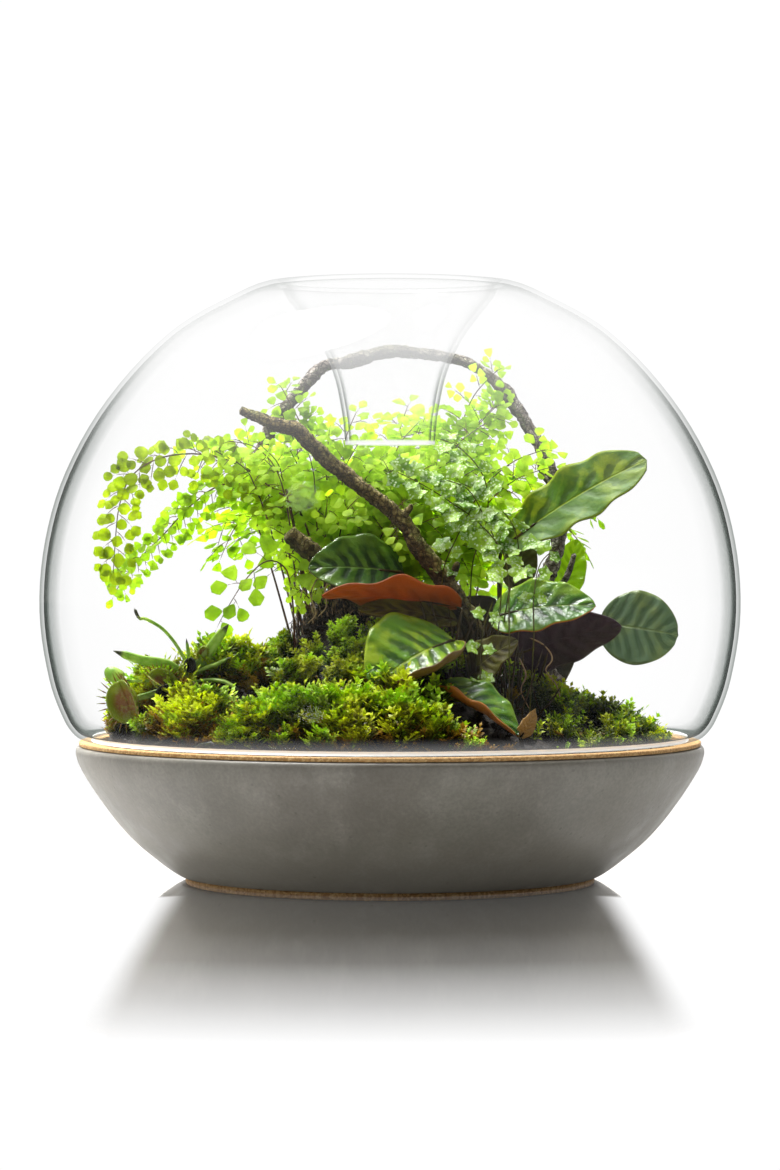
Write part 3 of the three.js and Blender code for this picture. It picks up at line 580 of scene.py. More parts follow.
def soil_point(u, v):
    angle = 2 * math.pi * v
    if u <= SURFACE_SHARE + 1e-6:
        radius = GROUND_RADIUS * u / SURFACE_SHARE
        x, y = around_axis(radius, angle)
        calm = 0.4 if radius > GROUND_RADIUS - 4 else 1.0
        return Vector((x, y, ground_height(x, y) - 0.6 + calm * lumpy(x, y))) * MM
    below = (u - SURFACE_SHARE) / (1 - SURFACE_SHARE)
    radius, height = SOIL_SIDE[min(2, int(below * 3 - 1e-6))]
    return Vector((*around_axis(radius, angle), height)) * MM


def soil_heap():
    bm = bmesh.new()
    verts = bent_grid(bm, across=160, along=100, place=soil_point)
    bmesh.ops.remove_doubles(bm, verts=verts, dist=1e-5)
    bmesh.ops.recalc_face_normals(bm, faces=bm.faces)
    return bm


finish_piece("soil_heap", soil_heap(), [soil_dark], "soil", ["soil"])

# %% [markdown]
# ## Repeating a small shape
#
# Crumbs, moss sprigs and leaflets repeat by the hundred. Each is made once, as a small template mesh.
# To place one, the template is transformed, copied into the growing bmesh and transformed back, which is
# far quicker than an operator call for every copy.

# %% Copy a template to many places
def template_from(bm):
    mesh = bpy.data.meshes.new("template")
    bm.to_mesh(mesh)
    bm.free()
    return mesh


def stamp(bm, template, matrix):
    template.transform(matrix)
    bm.from_mesh(template)
    template.transform(matrix.inverted())


def join(bm, made, finish=0):
    """Move a finished bmesh into a growing one. finish is the number of its material there."""
    for face in made.faces:
        face.material_index = finish
    bm.from_mesh(template_from(made))


def disc_leaf(place, segments, thickness, raised=0.0):
    """A thin leaf from a disc: place says where the rim goes at each angle, raised lifts its middle."""
    bm = bmesh.new()
    disc = bmesh.ops.create_circle(bm, cap_ends=True, radius=1.0, segments=segments)
    for vert in disc["verts"]:
        vert.co = place(math.atan2(vert.co.y, vert.co.x))
    poked = bmesh.ops.poke(bm, faces=bm.faces)
    for vert in poked["verts"]:
        vert.co.z += raised
    bmesh.ops.solidify(bm, geom=bm.faces, thickness=thickness)
    bmesh.ops.recalc_face_normals(bm, faces=bm.faces)
    return bm


def standing(point, heading, up, size):
    """A matrix that puts +X along heading and +Z near up, at point, scaled by size."""
    forward = heading.normalized()
    sideways = up.cross(forward).normalized()
    turned = Matrix((forward, sideways, forward.cross(sideways))).transposed().to_4x4()
    return Matrix.Translation(point) @ turned @ Matrix.Scale(size, 4)


# %% Crumbs and clods of soil
CLODS = [(-132, -58, 9), (-124, -62, 11), (-118, -56, 8), (-92, -58, 8), (-84, -62, 9), (-77, -60, 7),
         (-100, -40, 9), (14, -66, 8), (30, -74, 9), (48, -84, 8), (62, -92, 9), (76, -90, 7), (40, -104, 7),
         (84, -76, 9), (-44, -14, 10), (-30, -18, 9), (-36, -6, 9), (-20, -10, 8)]


CRUMBS = 1800
CRUMBS_WITHIN = 159


def crumb(fineness, rough):
    bm = bmesh.new()
    bmesh.ops.create_icosphere(bm, subdivisions=fineness, radius=0.5)
    for vert in bm.verts:
        vert.co *= 1 - rough / 2 + rough * noise.noise(vert.co * 4.1 + Vector((fineness, rough, 0))) * 1.6
    return template_from(bm)


def soil_crumbs():
    chance = random.Random(5)
    shapes = [crumb(1, rough) for rough in (0.3, 0.45, 0.6)]
    bm = bmesh.new()
    for _ in range(CRUMBS):
        radius = CRUMBS_WITHIN * math.sqrt(chance.random())
        x, y = around_axis(radius, 2 * math.pi * chance.random())
        point = Vector((x, y, ground_height(x, y) + lumpy(x, y))) * MM
        heading = Vector((chance.uniform(-1, 1), chance.uniform(-1, 1), chance.uniform(-1, 1)))
        size = (1.2 + 4.5 * chance.random() ** 3) * MM
        stamp(bm, chance.choice(shapes), standing(point, heading, Vector((0.1, 0.2, 1)), size))
    clod = crumb(3, 0.7)
    for x, y, size in CLODS:
        point = Vector((x, y, ground_height(x, y) + 0.28 * size)) * MM
        heading = Vector((chance.uniform(-1, 1), chance.uniform(-1, 1), chance.uniform(-0.4, 0.4)))
        stamp(bm, clod, standing(point, heading, Vector((0.1, 0.2, 1)), 1.5 * size * MM))
    return bm


finish_piece("soil_crumbs", soil_crumbs(), [soil_dark], "soil", smooth=False)

# %% [markdown]
# ## Moss
#
# Each carpet covers the same cells of the ground as its plain solid: rings from the centre outwards, and
# sectors anticlockwise. A dark mat lies on the soil, humped like real cushions, and sprigs stand close
# together on it, with gaps in which the dark shows. Two kinds of sprig are needed. The feathery ones lie
# along and carry short leaves left and right, and the starry ones stand up with narrow leaves all round.
# A sprig is dark at its foot and bright at its tip: partly older growth, and partly painted shade deep in
# the cushion. Its U coordinate carries that, from 0 to 1. The mat has U 0, so it takes the same dark tones.

# %% Moss finishes
def moss_finish(name, deep, middle, bright, other):
    """other: a second bright tone, which patches of the carpet take on."""
    material, tree = new_material(name)
    place = object_place(tree)
    share = uv_place(tree)["X"]
    patches = clouds(tree, place, 55, 3)
    single = clouds(tree, place, 420, 2)
    # the sprig's U darkens its foot: partly older growth, partly painted shade deep in the cushion
    mixed = calc(tree, "ADD", calc(tree, "MULTIPLY", share, 0.62),
                 calc(tree, "ADD", calc(tree, "MULTIPLY", patches, 1.1), calc(tree, "MULTIPLY", single, 0.4)))
    colour = ramp(tree, calc(tree, "SUBTRACT", mixed, 0.58), [(0.18, deep), (0.44, middle), (0.70, bright)])
    hue = spread(tree, clouds(tree, place, 30, 4, 0.7), 0.46, 0.58)
    tinted = blend(tree, calc(tree, "MULTIPLY", hue, 0.8), colour, other, "MULTIPLY")
    leafy(tree, tinted, tinted, 0.45, 0.4, gloss=0.25)
    return material


MOSS_FINISHES = {
    "moss_green": moss_finish("moss_fresh_green", (0.004, 0.009, 0.001), (0.10, 0.19, 0.004),
                              (0.62, 0.86, 0.035), (0.85, 0.62, 0.5)),
    "moss_lime": moss_finish("moss_lime_green", (0.005, 0.006, 0.001), (0.16, 0.16, 0.002),
                             (0.78, 0.86, 0.02), (0.42, 0.72, 0.5)),
    "moss_olive": moss_finish("moss_olive_brown", (0.008, 0.005, 0.001), (0.13, 0.070, 0.003),
                              (0.54, 0.33, 0.02), (0.8, 1.0, 0.6)),
    "moss_dark": moss_finish("moss_dark_green", (0.004, 0.008, 0.001), (0.045, 0.080, 0.012),
                             (0.30, 0.42, 0.10), (1.0, 0.75, 0.4)),
}


# %% Moss sprigs
def sprig_leaf(bm, base, tip, width, share):
    """A closed sliver with four points: its base, its tip and its two raised sides."""
    along = tip - base
    across = along.cross(Vector((0, 0, 1)))
    across = (across.normalized() if across.length > 1e-9 else Vector((0, 1, 0))) * width
    raised = base + along * 0.45 + Vector((0, 0, width * 0.5))
    corners = [bm.verts.new(place) for place in (base, raised + across, tip, raised - across)]
    sliver = bmesh.ops.contextual_create(bm, geom=corners[:3])["faces"]
    for pair in ((0, 2, 3), (0, 3, 1), (1, 3, 2)):
        sliver += bmesh.ops.contextual_create(bm, geom=[corners[index] for index in pair])["faces"]
    lay = bm.loops.layers.uv.verify()
    for face in sliver:
        for loop in face.loops:
            loop[lay].uv = (share * (1.0 if loop.vert == corners[2] else 0.7), 0.5)


def sprig_from(bm):
    bmesh.ops.recalc_face_normals(bm, faces=bm.faces)
    return template_from(bm)


def feather_sprig(seed, pairs=8):
    """A sprig one unit long that lies along +X and curls up at its tip."""
    chance = random.Random(seed)
    bm = bmesh.new()
    stem = Route([(0, 0, 0), (300, 0, 120), (700, 30, 240), (1000, 0, 230)], 3)
    tube(bm, stem, lambda u, v: 0.03 * (1.2 - u), around=3, along=4)
    for index in range(pairs):
        share = 0.10 + 0.82 * index / pairs
        point, heading, _ = stem.at(share)
        reach = 0.36 * math.sin(math.pi * (0.22 + 0.72 * share)) * chance.uniform(0.8, 1.2)
        for side in (-1, 1):
            out = Vector((0.6, side * 0.85, chance.uniform(-0.05, 0.45))).normalized()
            sprig_leaf(bm, point, point + out * reach, 0.068, 0.25 + 0.75 * share)
    point = stem.at(0.95)[0]
    sprig_leaf(bm, point, point + Vector((0.22, 0, 0.05)), 0.06, 1.0)
    return sprig_from(bm)


def star_sprig(seed, tiers=4, leaves=4):
    """A sprig one unit tall that stands along +Z."""
    chance = random.Random(seed)
    bm = bmesh.new()
    stem = Route([(0, 0, 0), (40, 30, 400), (60, 0, 850)], 3)
    tube(bm, stem, lambda u, v: 0.03 * (1.2 - 0.6 * u), around=3, along=3)
    for tier in range(tiers):
        share = tier / (tiers - 1)
        point = stem.at(0.3 + 0.7 * share)[0]
        for leaf in range(leaves):
            angle = 2 * math.pi * (leaf + 0.5 * (tier % 2) + chance.uniform(-0.15, 0.15)) / leaves
            out = Vector((math.cos(angle), math.sin(angle), 0.25 + 0.9 * share)).normalized()
            sprig_leaf(bm, point, point + out * (0.34 - 0.08 * share), 0.075, 0.35 + 0.65 * share)
    return sprig_from(bm)


# %% Spread moss over its cells of the ground
GROUND_RINGS = 10
SECTORS = 32
SPRIGS_WITHIN = 157
NEAR_RIM = 148  # sprigs stay short beyond this radius, so that none meets the glass
MOSS = {
    "moss_hill": dict(rings=(2, 4), sectors=(13, 26), finish="moss_green", star=0.75, size=(7, 13),
                      count=2300, tuft=8, gap=-0.18),
    "moss_front": dict(rings=(5, 9), sectors=(17, 25), finish="moss_lime", star=0.2, size=(12, 21),
                       count=1900, tuft=13, gap=0.09),
    "moss_left": dict(rings=(5, 9), sectors=(12, 15), finish="moss_olive", star=0.3, size=(6, 11),
                      count=1100, tuft=4, gap=-0.1),
    "moss_right": dict(rings=(5, 9), sectors=(28, 33), finish="moss_dark", star=0.75, size=(7, 13),
                       count=1600, tuft=5, gap=-0.16),
    "moss_back": dict(rings=(5, 8), sectors=(4, 9), finish="moss_green", star=0.4, size=(7, 12),
                      count=1500, tuft=6, gap=-0.3),
}
BARE_SPOTS = [(-37, 3, 18), (-39, -17, 17), (50, -120, 20), (74, -124, 18), (30, -110, 13), (92, -104, 14),
              (112, -42, 15), (-50, -82, 14), (-28, -88, 13), (-76, -74, 13), (-104, -60, 11), (-8, -100, 10),
              (113, -62, 13), (108, -82, 12), (104, -122, 10), (-62, -52, 9), (-96, -76, 8),
              (-148, -62, 19), (-128, -60, 9), (-88, -60, 10), (-112, -50, 6), (44, -92, 17),
              (68, -80, 20), (46, -62, 20), (84, -62, 16), (24, -74, 12), (70, -104, 12), (-70, -78, 9),
              (-20, -92, 8)]


def covered(carpet, ring, sector):
    """Whether a carpet covers a cell. Its border wanders from ring to ring."""
    if not carpet["rings"][0] <= ring <= carpet["rings"][1]:
        return False
    first, last = (edge + round(1.3 * math.sin(ring * 1.9 + edge * 2.3)) for edge in carpet["sectors"])
    return (sector - first) % SECTORS <= last - first


def hummock(x, y):
    """How far the cushions rise and fall, from about -0.5 to 0.5."""
    return noise.noise(Vector((x / 15, y / 15, 1.3))) + 0.4 * noise.noise(Vector((x / 6, y / 6, 4.9)))


def mat_lift(x, y, tuft):
    return tuft * max(0.06, 0.45 + 0.75 * hummock(x, y))


def is_bare(x, y):
    return any(math.hypot(x - at_x, y - at_y) < reach for at_x, at_y, reach in BARE_SPOTS)


def random_moss_spot(carpet, chance):
    """A place in the carpet's cells, off its gaps and off the bare spots."""
    while True:
        ring = carpet["rings"][0] + (carpet["rings"][1] + 1 - carpet["rings"][0]) * chance.random()
        sector = SECTORS * chance.random()
        radius = min(GROUND_RADIUS * ring / GROUND_RINGS, SPRIGS_WITHIN)
        x, y = around_axis(radius, 2 * math.pi * sector / SECTORS)
        if chance.random() > ring / (carpet["rings"][1] + 1) or is_bare(x, y):
            continue
        if covered(carpet, int(ring), int(sector)) and hummock(x, y) > carpet["gap"]:
            return x, y


def moss_carpet(carpet, seed):
    chance = random.Random(seed)
    feathers = [feather_sprig(seed + step) for step in range(3)]
    stars = [star_sprig(seed + step) for step in range(3)]
    bm = bmesh.new()
    bm.loops.layers.uv.new("UVMap")
    for _ in range(carpet["count"]):
        x, y = random_moss_spot(carpet, chance)
        normal = ground_normal(x, y)
        lift = mat_lift(x, y, carpet["tuft"]) * chance.uniform(0.5, 1.0)
        point = Vector((x, y, ground_height(x, y) + lift)) * MM
        near_rim = 0.6 if math.hypot(x, y) > NEAR_RIM else 1.0
        size = chance.uniform(*carpet["size"]) * near_rim * MM
        swing = chance.uniform(0, 2 * math.pi)
        level = Vector((math.cos(swing), math.sin(swing), 0))
        if chance.random() < carpet["star"]:
            lean = (normal + level * 0.4).normalized()
            stamp(bm, chance.choice(stars), standing(point, lean.orthogonal(), lean, size))
        else:
            heading = (level + normal * chance.uniform(0.2, 1.3)).normalized()
            stamp(bm, chance.choice(feathers), standing(point, heading, normal, size))
    return bm


def moss_mat(carpet):
    """The dense lower layer: a sheet over the covered cells, a few millimetres above the soil."""
    bm = bmesh.new()
    per_cell = 4

    def place(u, v):
        x, y = around_axis(GROUND_RADIUS * u, 2 * math.pi * v)
        return Vector((x, y, ground_height(x, y) + mat_lift(x, y, carpet["tuft"]))) * MM

    bent_grid(bm, SECTORS * per_cell, GROUND_RINGS * per_cell, place)
    spare = []
    for face in bm.faces:
        centre = face.calc_center_median() / MM
        ring = int(centre.xy.length / GROUND_RADIUS * GROUND_RINGS)
        sector = int((math.atan2(centre.y, centre.x) / (2 * math.pi) % 1.0) * SECTORS)
        if not covered(carpet, ring, sector) or is_bare(centre.x, centre.y):
            spare.append(face)
    bmesh.ops.delete(bm, geom=spare, context="FACES")
    bmesh.ops.remove_doubles(bm, verts=bm.verts, dist=1e-6)
    lay = bm.loops.layers.uv.verify()
    for face in bm.faces:
        for loop in face.loops:
            loop[lay].uv = (0.0, 0.0)
    bm.normal_update()
    if sum(face.normal.z for face in bm.faces) < 0:
        bmesh.ops.reverse_faces(bm, faces=bm.faces)
    bmesh.ops.solidify(bm, geom=list(bm.faces), thickness=2.4 * MM)
    return bm


for number, (node, carpet) in enumerate(MOSS.items()):
    finish = MOSS_FINISHES[carpet["finish"]]
    finish_piece(node + "_mat", moss_mat(carpet), [finish], carpet["finish"])
    sprigs = moss_carpet(carpet, 40 + 10 * number)
    finish_piece(node + "_sprigs", sprigs, [finish], carpet["finish"], [node], smooth=False)

# %% [markdown]
# No real moss is of one kind. Sprigs of other kinds grow through the front carpet and beside it: rusty and
# brown ones that have dried, fresh green ones, and a few pale ones under the leaves on the right.

# %% Stray sprigs of other mosses
STRAYS = {
    "rusty": dict(rings=(7, 9), sectors=(17, 20), finish="moss_olive", star=0.2, size=(11, 18), count=420,
                  tuft=10, gap=-0.35),
    "brown": dict(rings=(5, 9), sectors=(14, 27), finish="moss_olive", star=0.2, size=(9, 16), count=1300,
                  tuft=7, gap=-0.35),
    "fresh": dict(rings=(4, 9), sectors=(16, 30), finish="moss_green", star=0.35, size=(9, 17), count=900,
                  tuft=9, gap=0.05),
    "pale": dict(rings=(6, 9), sectors=(26, 31), finish="moss_lime", star=0.6, size=(8, 14), count=420,
                 tuft=5, gap=-0.05),
}
for number, (name, carpet) in enumerate(STRAYS.items()):
    finish = MOSS_FINISHES[carpet["finish"]]
    strays = moss_carpet(carpet, 140 + 10 * number)
    finish_piece("moss_strays_" + name, strays, [finish], carpet["finish"], smooth=False)

# %% [markdown]
# ## Driftwood
#
# The wood is old and knotty: its thickness swells and shrinks, ridges run along it, and lichen and moss
# have settled on its upper side. The shape is a tube of uneven thickness, and the ridges come from a noise
# that is stretched along the grain. The UV map runs with the grain too.

# %% Weathered bark
def bark_finish(name, dark, tan, lichen, moss):
    material, tree = new_material(name)
    place = object_place(tree)
    plates = clouds(tree, place, 210, 7, 0.75)
    cracks = cells(tree, place, 330, "DISTANCE_TO_EDGE")
    broad = clouds(tree, place, 42, 4)
    normal = add(tree, "ShaderNodeNewGeometry").outputs["Normal"]
    up = split(tree, normal)["Z"]
    colour = ramp(tree, plates, [(0.34, dark), (0.48, tan), (0.60, lichen), (0.70, dark)])
    cracked = blend(tree, spread(tree, cracks, 0.0, 0.10, 0.7, 0.0), colour, dark)
    # painted shade: the bark turns dark where its surface faces down
    shaded = blend(tree, spread(tree, up, -0.6, 0.4, 0.85, 0.0), cracked, dark)
    mossy = calc(tree, "MULTIPLY", spread(tree, broad, 0.44, 0.60), spread(tree, up, -0.2, 0.7), clamp=True)
    tinted = blend(tree, calc(tree, "MULTIPLY", mossy, moss), shaded, (0.17, 0.19, 0.02))
    height = calc(tree, "ADD", plates, spread(tree, cracks, 0.0, 0.15))
    show(tree, surface(tree, {"Base Color": tinted, "Roughness": 0.85,
                              "Normal": bump(tree, height, 0.9, 0.0015)}))
    return material


# %% Routes of the wood, from the foot to the free tip, in millimetres
BRANCH_FRONT = [(66, 4, 86), (63, 0, 102), (57, -8, 125), (50, -16, 142), (38, -24, 160), (28, -30, 174),
                (17, -35, 189), (7, -39, 204), (-14, -44, 222), (-34, -48, 238), (-52, -52, 255),
                (-62, -54, 258), (-84, -58, 266)]
BRANCH_ARCH = [(113, -24, 68), (109, -22, 81), (102, -14, 96), (95, -6, 108), (87, 2, 122), (82, 8, 142),
               (82, 12, 159), (91, 16, 173), (98, 20, 194), (96, 26, 220), (90, 32, 243), (81, 38, 259),
               (64, 48, 284), (42, 56, 299), (20, 60, 303), (-3, 62, 304), (-27, 62, 298), (-40, 61, 295),
               (-55, 60, 279), (-67, 59, 265), (-76, 58, 246), (-87, 56, 225)]
ARCH_TWIG = [(84, 12, 150), (92, 9, 158), (98, 6, 166), (103, 4, 176), (106, 2, 186)]
BRANCH_STUB = [(2, 0, 120), (-6, -3, 140), (-22, -8, 164), (-40, -14, 182), (-58, -20, 198)]
FRONT_RADII = [5, 4.6, 4.4, 4.2, 4.6, 5.8, 4.4, 4, 4.2, 3.9, 4.6, 3.4, 2.2]
ARCH_RADII = [7, 6, 5.4, 5, 4.2, 4, 3.4, 3.8, 3, 3.4, 4, 3.6, 3.8, 2.8]


# %% Grow a piece of driftwood
def wood(bm, points, radii, seed, along, around=26, rough=0.22):
    def radius(share, turn):
        place = share * (len(radii) - 1)
        first = min(int(place), len(radii) - 2)
        thick = radii[first] + (radii[first + 1] - radii[first]) * (place - first)
        angle, run = 2 * math.pi * turn, share * along * 0.09 + seed
        ridges = noise.fractal(Vector((math.cos(angle) * 1.7, math.sin(angle) * 1.7, run)), 0.7, 2.2, 5)
        flakes = noise.noise(Vector((math.cos(angle) * 4, math.sin(angle) * 4, run * 5)))
        knots = noise.noise(Vector((math.cos(angle) * 0.7, math.sin(angle) * 0.7, run * 0.4)))
        return thick * MM * (1 + rough * ridges + 0.10 * flakes + 0.26 * knots)

    tube(bm, Route(points), radius, around, along)


bark = bark_finish("weathered_bark", (0.022, 0.017, 0.010), (0.22, 0.16, 0.050), (0.46, 0.38, 0.15), 0.6)
bark_dark = bark_finish("dark_bark", (0.018, 0.013, 0.011), (0.18, 0.145, 0.115), (0.50, 0.45, 0.39), 0.3)

front_wood = bmesh.new()
wood(front_wood, BRANCH_FRONT, FRONT_RADII, 3.1, 330, rough=0.30)
wood(front_wood, [(-30, -47, 234), (-37, -50, 244), (-41, -51, 248)], [3.2, 2.4, 1.2], 4.4, 30, 12)
wood(front_wood, [(30, -29, 172), (36, -36, 176), (38, -41, 181)], [3.6, 2.6, 1.6], 5.2, 30, 12)
wood(front_wood, [(18, -36, 190), (14, -42, 193), (11, -44, 197)], [3.6, 2.8, 1.4], 6.2, 26, 12)
wood(front_wood, [(6, -40, 206), (11, -43, 211), (12, -44, 214)], [3.0, 2.2, 1.0], 6.9, 22, 12)
finish_piece("wood_front", front_wood, [bark], "bark", ["driftwood_front"])

arch_wood = bmesh.new()
wood(arch_wood, BRANCH_ARCH, ARCH_RADII, 7.3, 560, 20, 0.34)
wood(arch_wood, ARCH_TWIG, [2.6, 2, 1.4], 8.1, 40, 10)
wood(arch_wood, [(96, 26, 222), (88, 24, 232), (86, 22, 238)], [2.2, 1.8, 1.0], 9.1, 24, 8)
wood(arch_wood, [(-70, 59, 264), (-75, 58, 248), (-86, 56, 220)], [3.4, 3.0, 2.2], 9.7, 50, 10)
finish_piece("wood_arch", arch_wood, [bark_dark], "bark_dark", ["driftwood_arch"])

stub_wood = bmesh.new()
wood(stub_wood, BRANCH_STUB, [5, 5, 5.6, 5.4, 5.0], 11.9, 120, rough=0.3)
finish_piece("wood_stub", stub_wood, [bark], "bark", ["driftwood_stub"])

# %% [markdown]
# ## Prayer-plant leaves
#
# A prayer plant's leaf is an oval blade, arched along its midrib and waved at its margin. Dark feather
# marks run out from the midrib between the side veins, and the underside of some kinds is purple or rust.
# The pattern reads the UV map, in which U runs along the leaf and V across it.

# %% Feather-marked leaf skin
VEIN_PAIRS = 7


def leaf_finish(name, green, mark, margin, marks=0.8, through=0.3, roughness=0.26, reach=0.6, half=None):
    """marks: how strong the feather marks are. reach: how far out they run, as a share of the half width.
    half: a painted light on the side of the blade with the lower V, and how strong it is: a paler tone
    for a painted sheen, a darker one for a painted shade."""
    material, tree = new_material(name)
    spot = uv_place(tree)
    along, across = spot["X"], spot["Y"]
    side = calc(tree, "MULTIPLY", calc(tree, "ABSOLUTE", calc(tree, "SUBTRACT", across, 0.5)), 2.0)
    slanted = calc(tree, "SUBTRACT", along, calc(tree, "MULTIPLY", side, 0.2))
    place = object_place(tree)
    wander = calc(tree, "MULTIPLY", clouds(tree, place, 70, 3), 0.16)
    turns = calc(tree, "MULTIPLY", calc(tree, "ADD", slanted, wander), 2 * math.pi * VEIN_PAIRS)
    wave = calc(tree, "SINE", turns)
    ragged = calc(tree, "ADD", side, calc(tree, "MULTIPLY", clouds(tree, place, 130, 4), 0.7))
    torn = calc(tree, "ADD", wave, calc(tree, "MULTIPLY", clouds(tree, place, 150, 5, 0.7), 2.4))
    feather = calc(tree, "MULTIPLY", spread(tree, torn, 0.7, 1.5, 1.0, 0.0),
                   spread(tree, ragged, reach + 0.1, reach + 0.5, 1.0, 0.0))
    patchy = blend(tree, spread(tree, clouds(tree, place, 48, 5, 0.65), 0.44, 0.64, 0.0, 0.75), green, margin)
    marked = blend(tree, calc(tree, "MULTIPLY", feather, marks), patchy, mark)
    # painted light: the lower-V half takes a given tone, a painted sheen where paler and a painted shade where
    # darker
    if half:
        tone, strength = half
        lower = spread(tree, across, 0.44, 0.52, strength, 0.0)
        marked = blend(tree, lower, marked, tone)
    rimmed = blend(tree, spread(tree, side, 0.90, 1.0, 0.0, 0.7), marked, margin)
    midrib = spread(tree, side, 0.012, 0.045, 1.0, 0.0)
    lines = calc(tree, "MAXIMUM", calc(tree, "MULTIPLY", spread(tree, wave, 0.9, 1.0), 0.25), midrib)
    colour = blend(tree, calc(tree, "MULTIPLY", lines, 0.5), rimmed, margin)
    quilt = calc(tree, "ADD", calc(tree, "MULTIPLY", wave, 0.4), clouds(tree, place, 260, 4))
    ridges = calc(tree, "SUBTRACT", quilt, midrib)
    glow = blend(tree, 0.5, colour, margin)
    leafy(tree, colour, glow, roughness, through, bump(tree, ridges, 0.5, 0.0012), 0.35)
    return material


# %% The twelve leaves
def finish_set(name, green, mark, margin, under, **more):
    upper = leaf_finish(name + "_upper", green, mark, margin, **more)
    lower = leaf_finish(name + "_under", under, tuple(0.5 * part for part in under), under, marks=0.5,
                        through=more.get("through", 0.3), roughness=0.5)
    return [upper, lower]


BROWN_UNDER = (0.16, 0.085, 0.015)
LEAF_FINISHES = {
    "leaf_green": finish_set("leaf_fresh", (0.13, 0.30, 0.014), (0.010, 0.045, 0.004), (0.46, 0.60, 0.03),
                             BROWN_UNDER),
    "leaf_folded": finish_set("leaf_folded", (0.060, 0.19, 0.014), (0.008, 0.036, 0.006), (0.27, 0.42, 0.03),
                              (0.52, 0.17, 0.015), through=0.18),
    # its lower-V half is painted paler: painted sheen
    "leaf_streaked": finish_set("leaf_streaked", (0.065, 0.19, 0.004), (0.010, 0.055, 0.003),
                                (0.44, 0.52, 0.012), (0.20, 0.26, 0.08), through=0.5, roughness=0.55,
                                half=((0.26, 0.42, 0.17), 0.5)),
    "leaf_dark": finish_set("leaf_shady", (0.030, 0.085, 0.008), (0.004, 0.012, 0.004), (0.10, 0.19, 0.015),
                            (0.09, 0.10, 0.02), through=0.15),
    "leaf_blue": finish_set("leaf_bluish", (0.15, 0.235, 0.135), (0.045, 0.085, 0.05), (0.28, 0.34, 0.11),
                            (0.15, 0.235, 0.135), through=0.35, reach=0.9, marks=0.65, roughness=0.4),
    "leaf_purple": finish_set("leaf_plum", (0.028, 0.015, 0.020), (0.014, 0.008, 0.011),
                              (0.060, 0.036, 0.034), (0.040, 0.019, 0.029), through=0.08, roughness=0.45),
    # its lower-V half is painted olive dark: painted shade
    "leaf_rust": finish_set("leaf_rusty", (0.46, 0.125, 0.012), (0.15, 0.025, 0.005), (0.66, 0.25, 0.03),
                            (0.38, 0.095, 0.012), through=0.40, roughness=0.5, marks=0.35,
                            half=((0.12, 0.085, 0.010), 0.7)),
    "leaf_olive": finish_set("leaf_olive", (0.10, 0.085, 0.010), (0.03, 0.022, 0.006), (0.20, 0.20, 0.02),
                             (0.14, 0.09, 0.012), through=0.3, roughness=0.65),
    "leaf_dry": finish_set("leaf_dry", (0.56, 0.38, 0.12), (0.36, 0.20, 0.05), (0.66, 0.48, 0.18),
                           (0.50, 0.32, 0.11), through=0.4, roughness=0.6),
    "leaf_light": finish_set("leaf_young", (0.28, 0.48, 0.02), (0.14, 0.28, 0.01), (0.50, 0.66, 0.04),
                             (0.36, 0.52, 0.03), through=0.55),
}
STALK_FINISH = leaf_finish("leaf_stalk", (0.050, 0.036, 0.012), (0.02, 0.012, 0.006), (0.10, 0.065, 0.02),
                           marks=0.2)
UNDERSIDE, LEAF_STALK = 1, 2  # the numbers of a leaf's materials after its upper skin

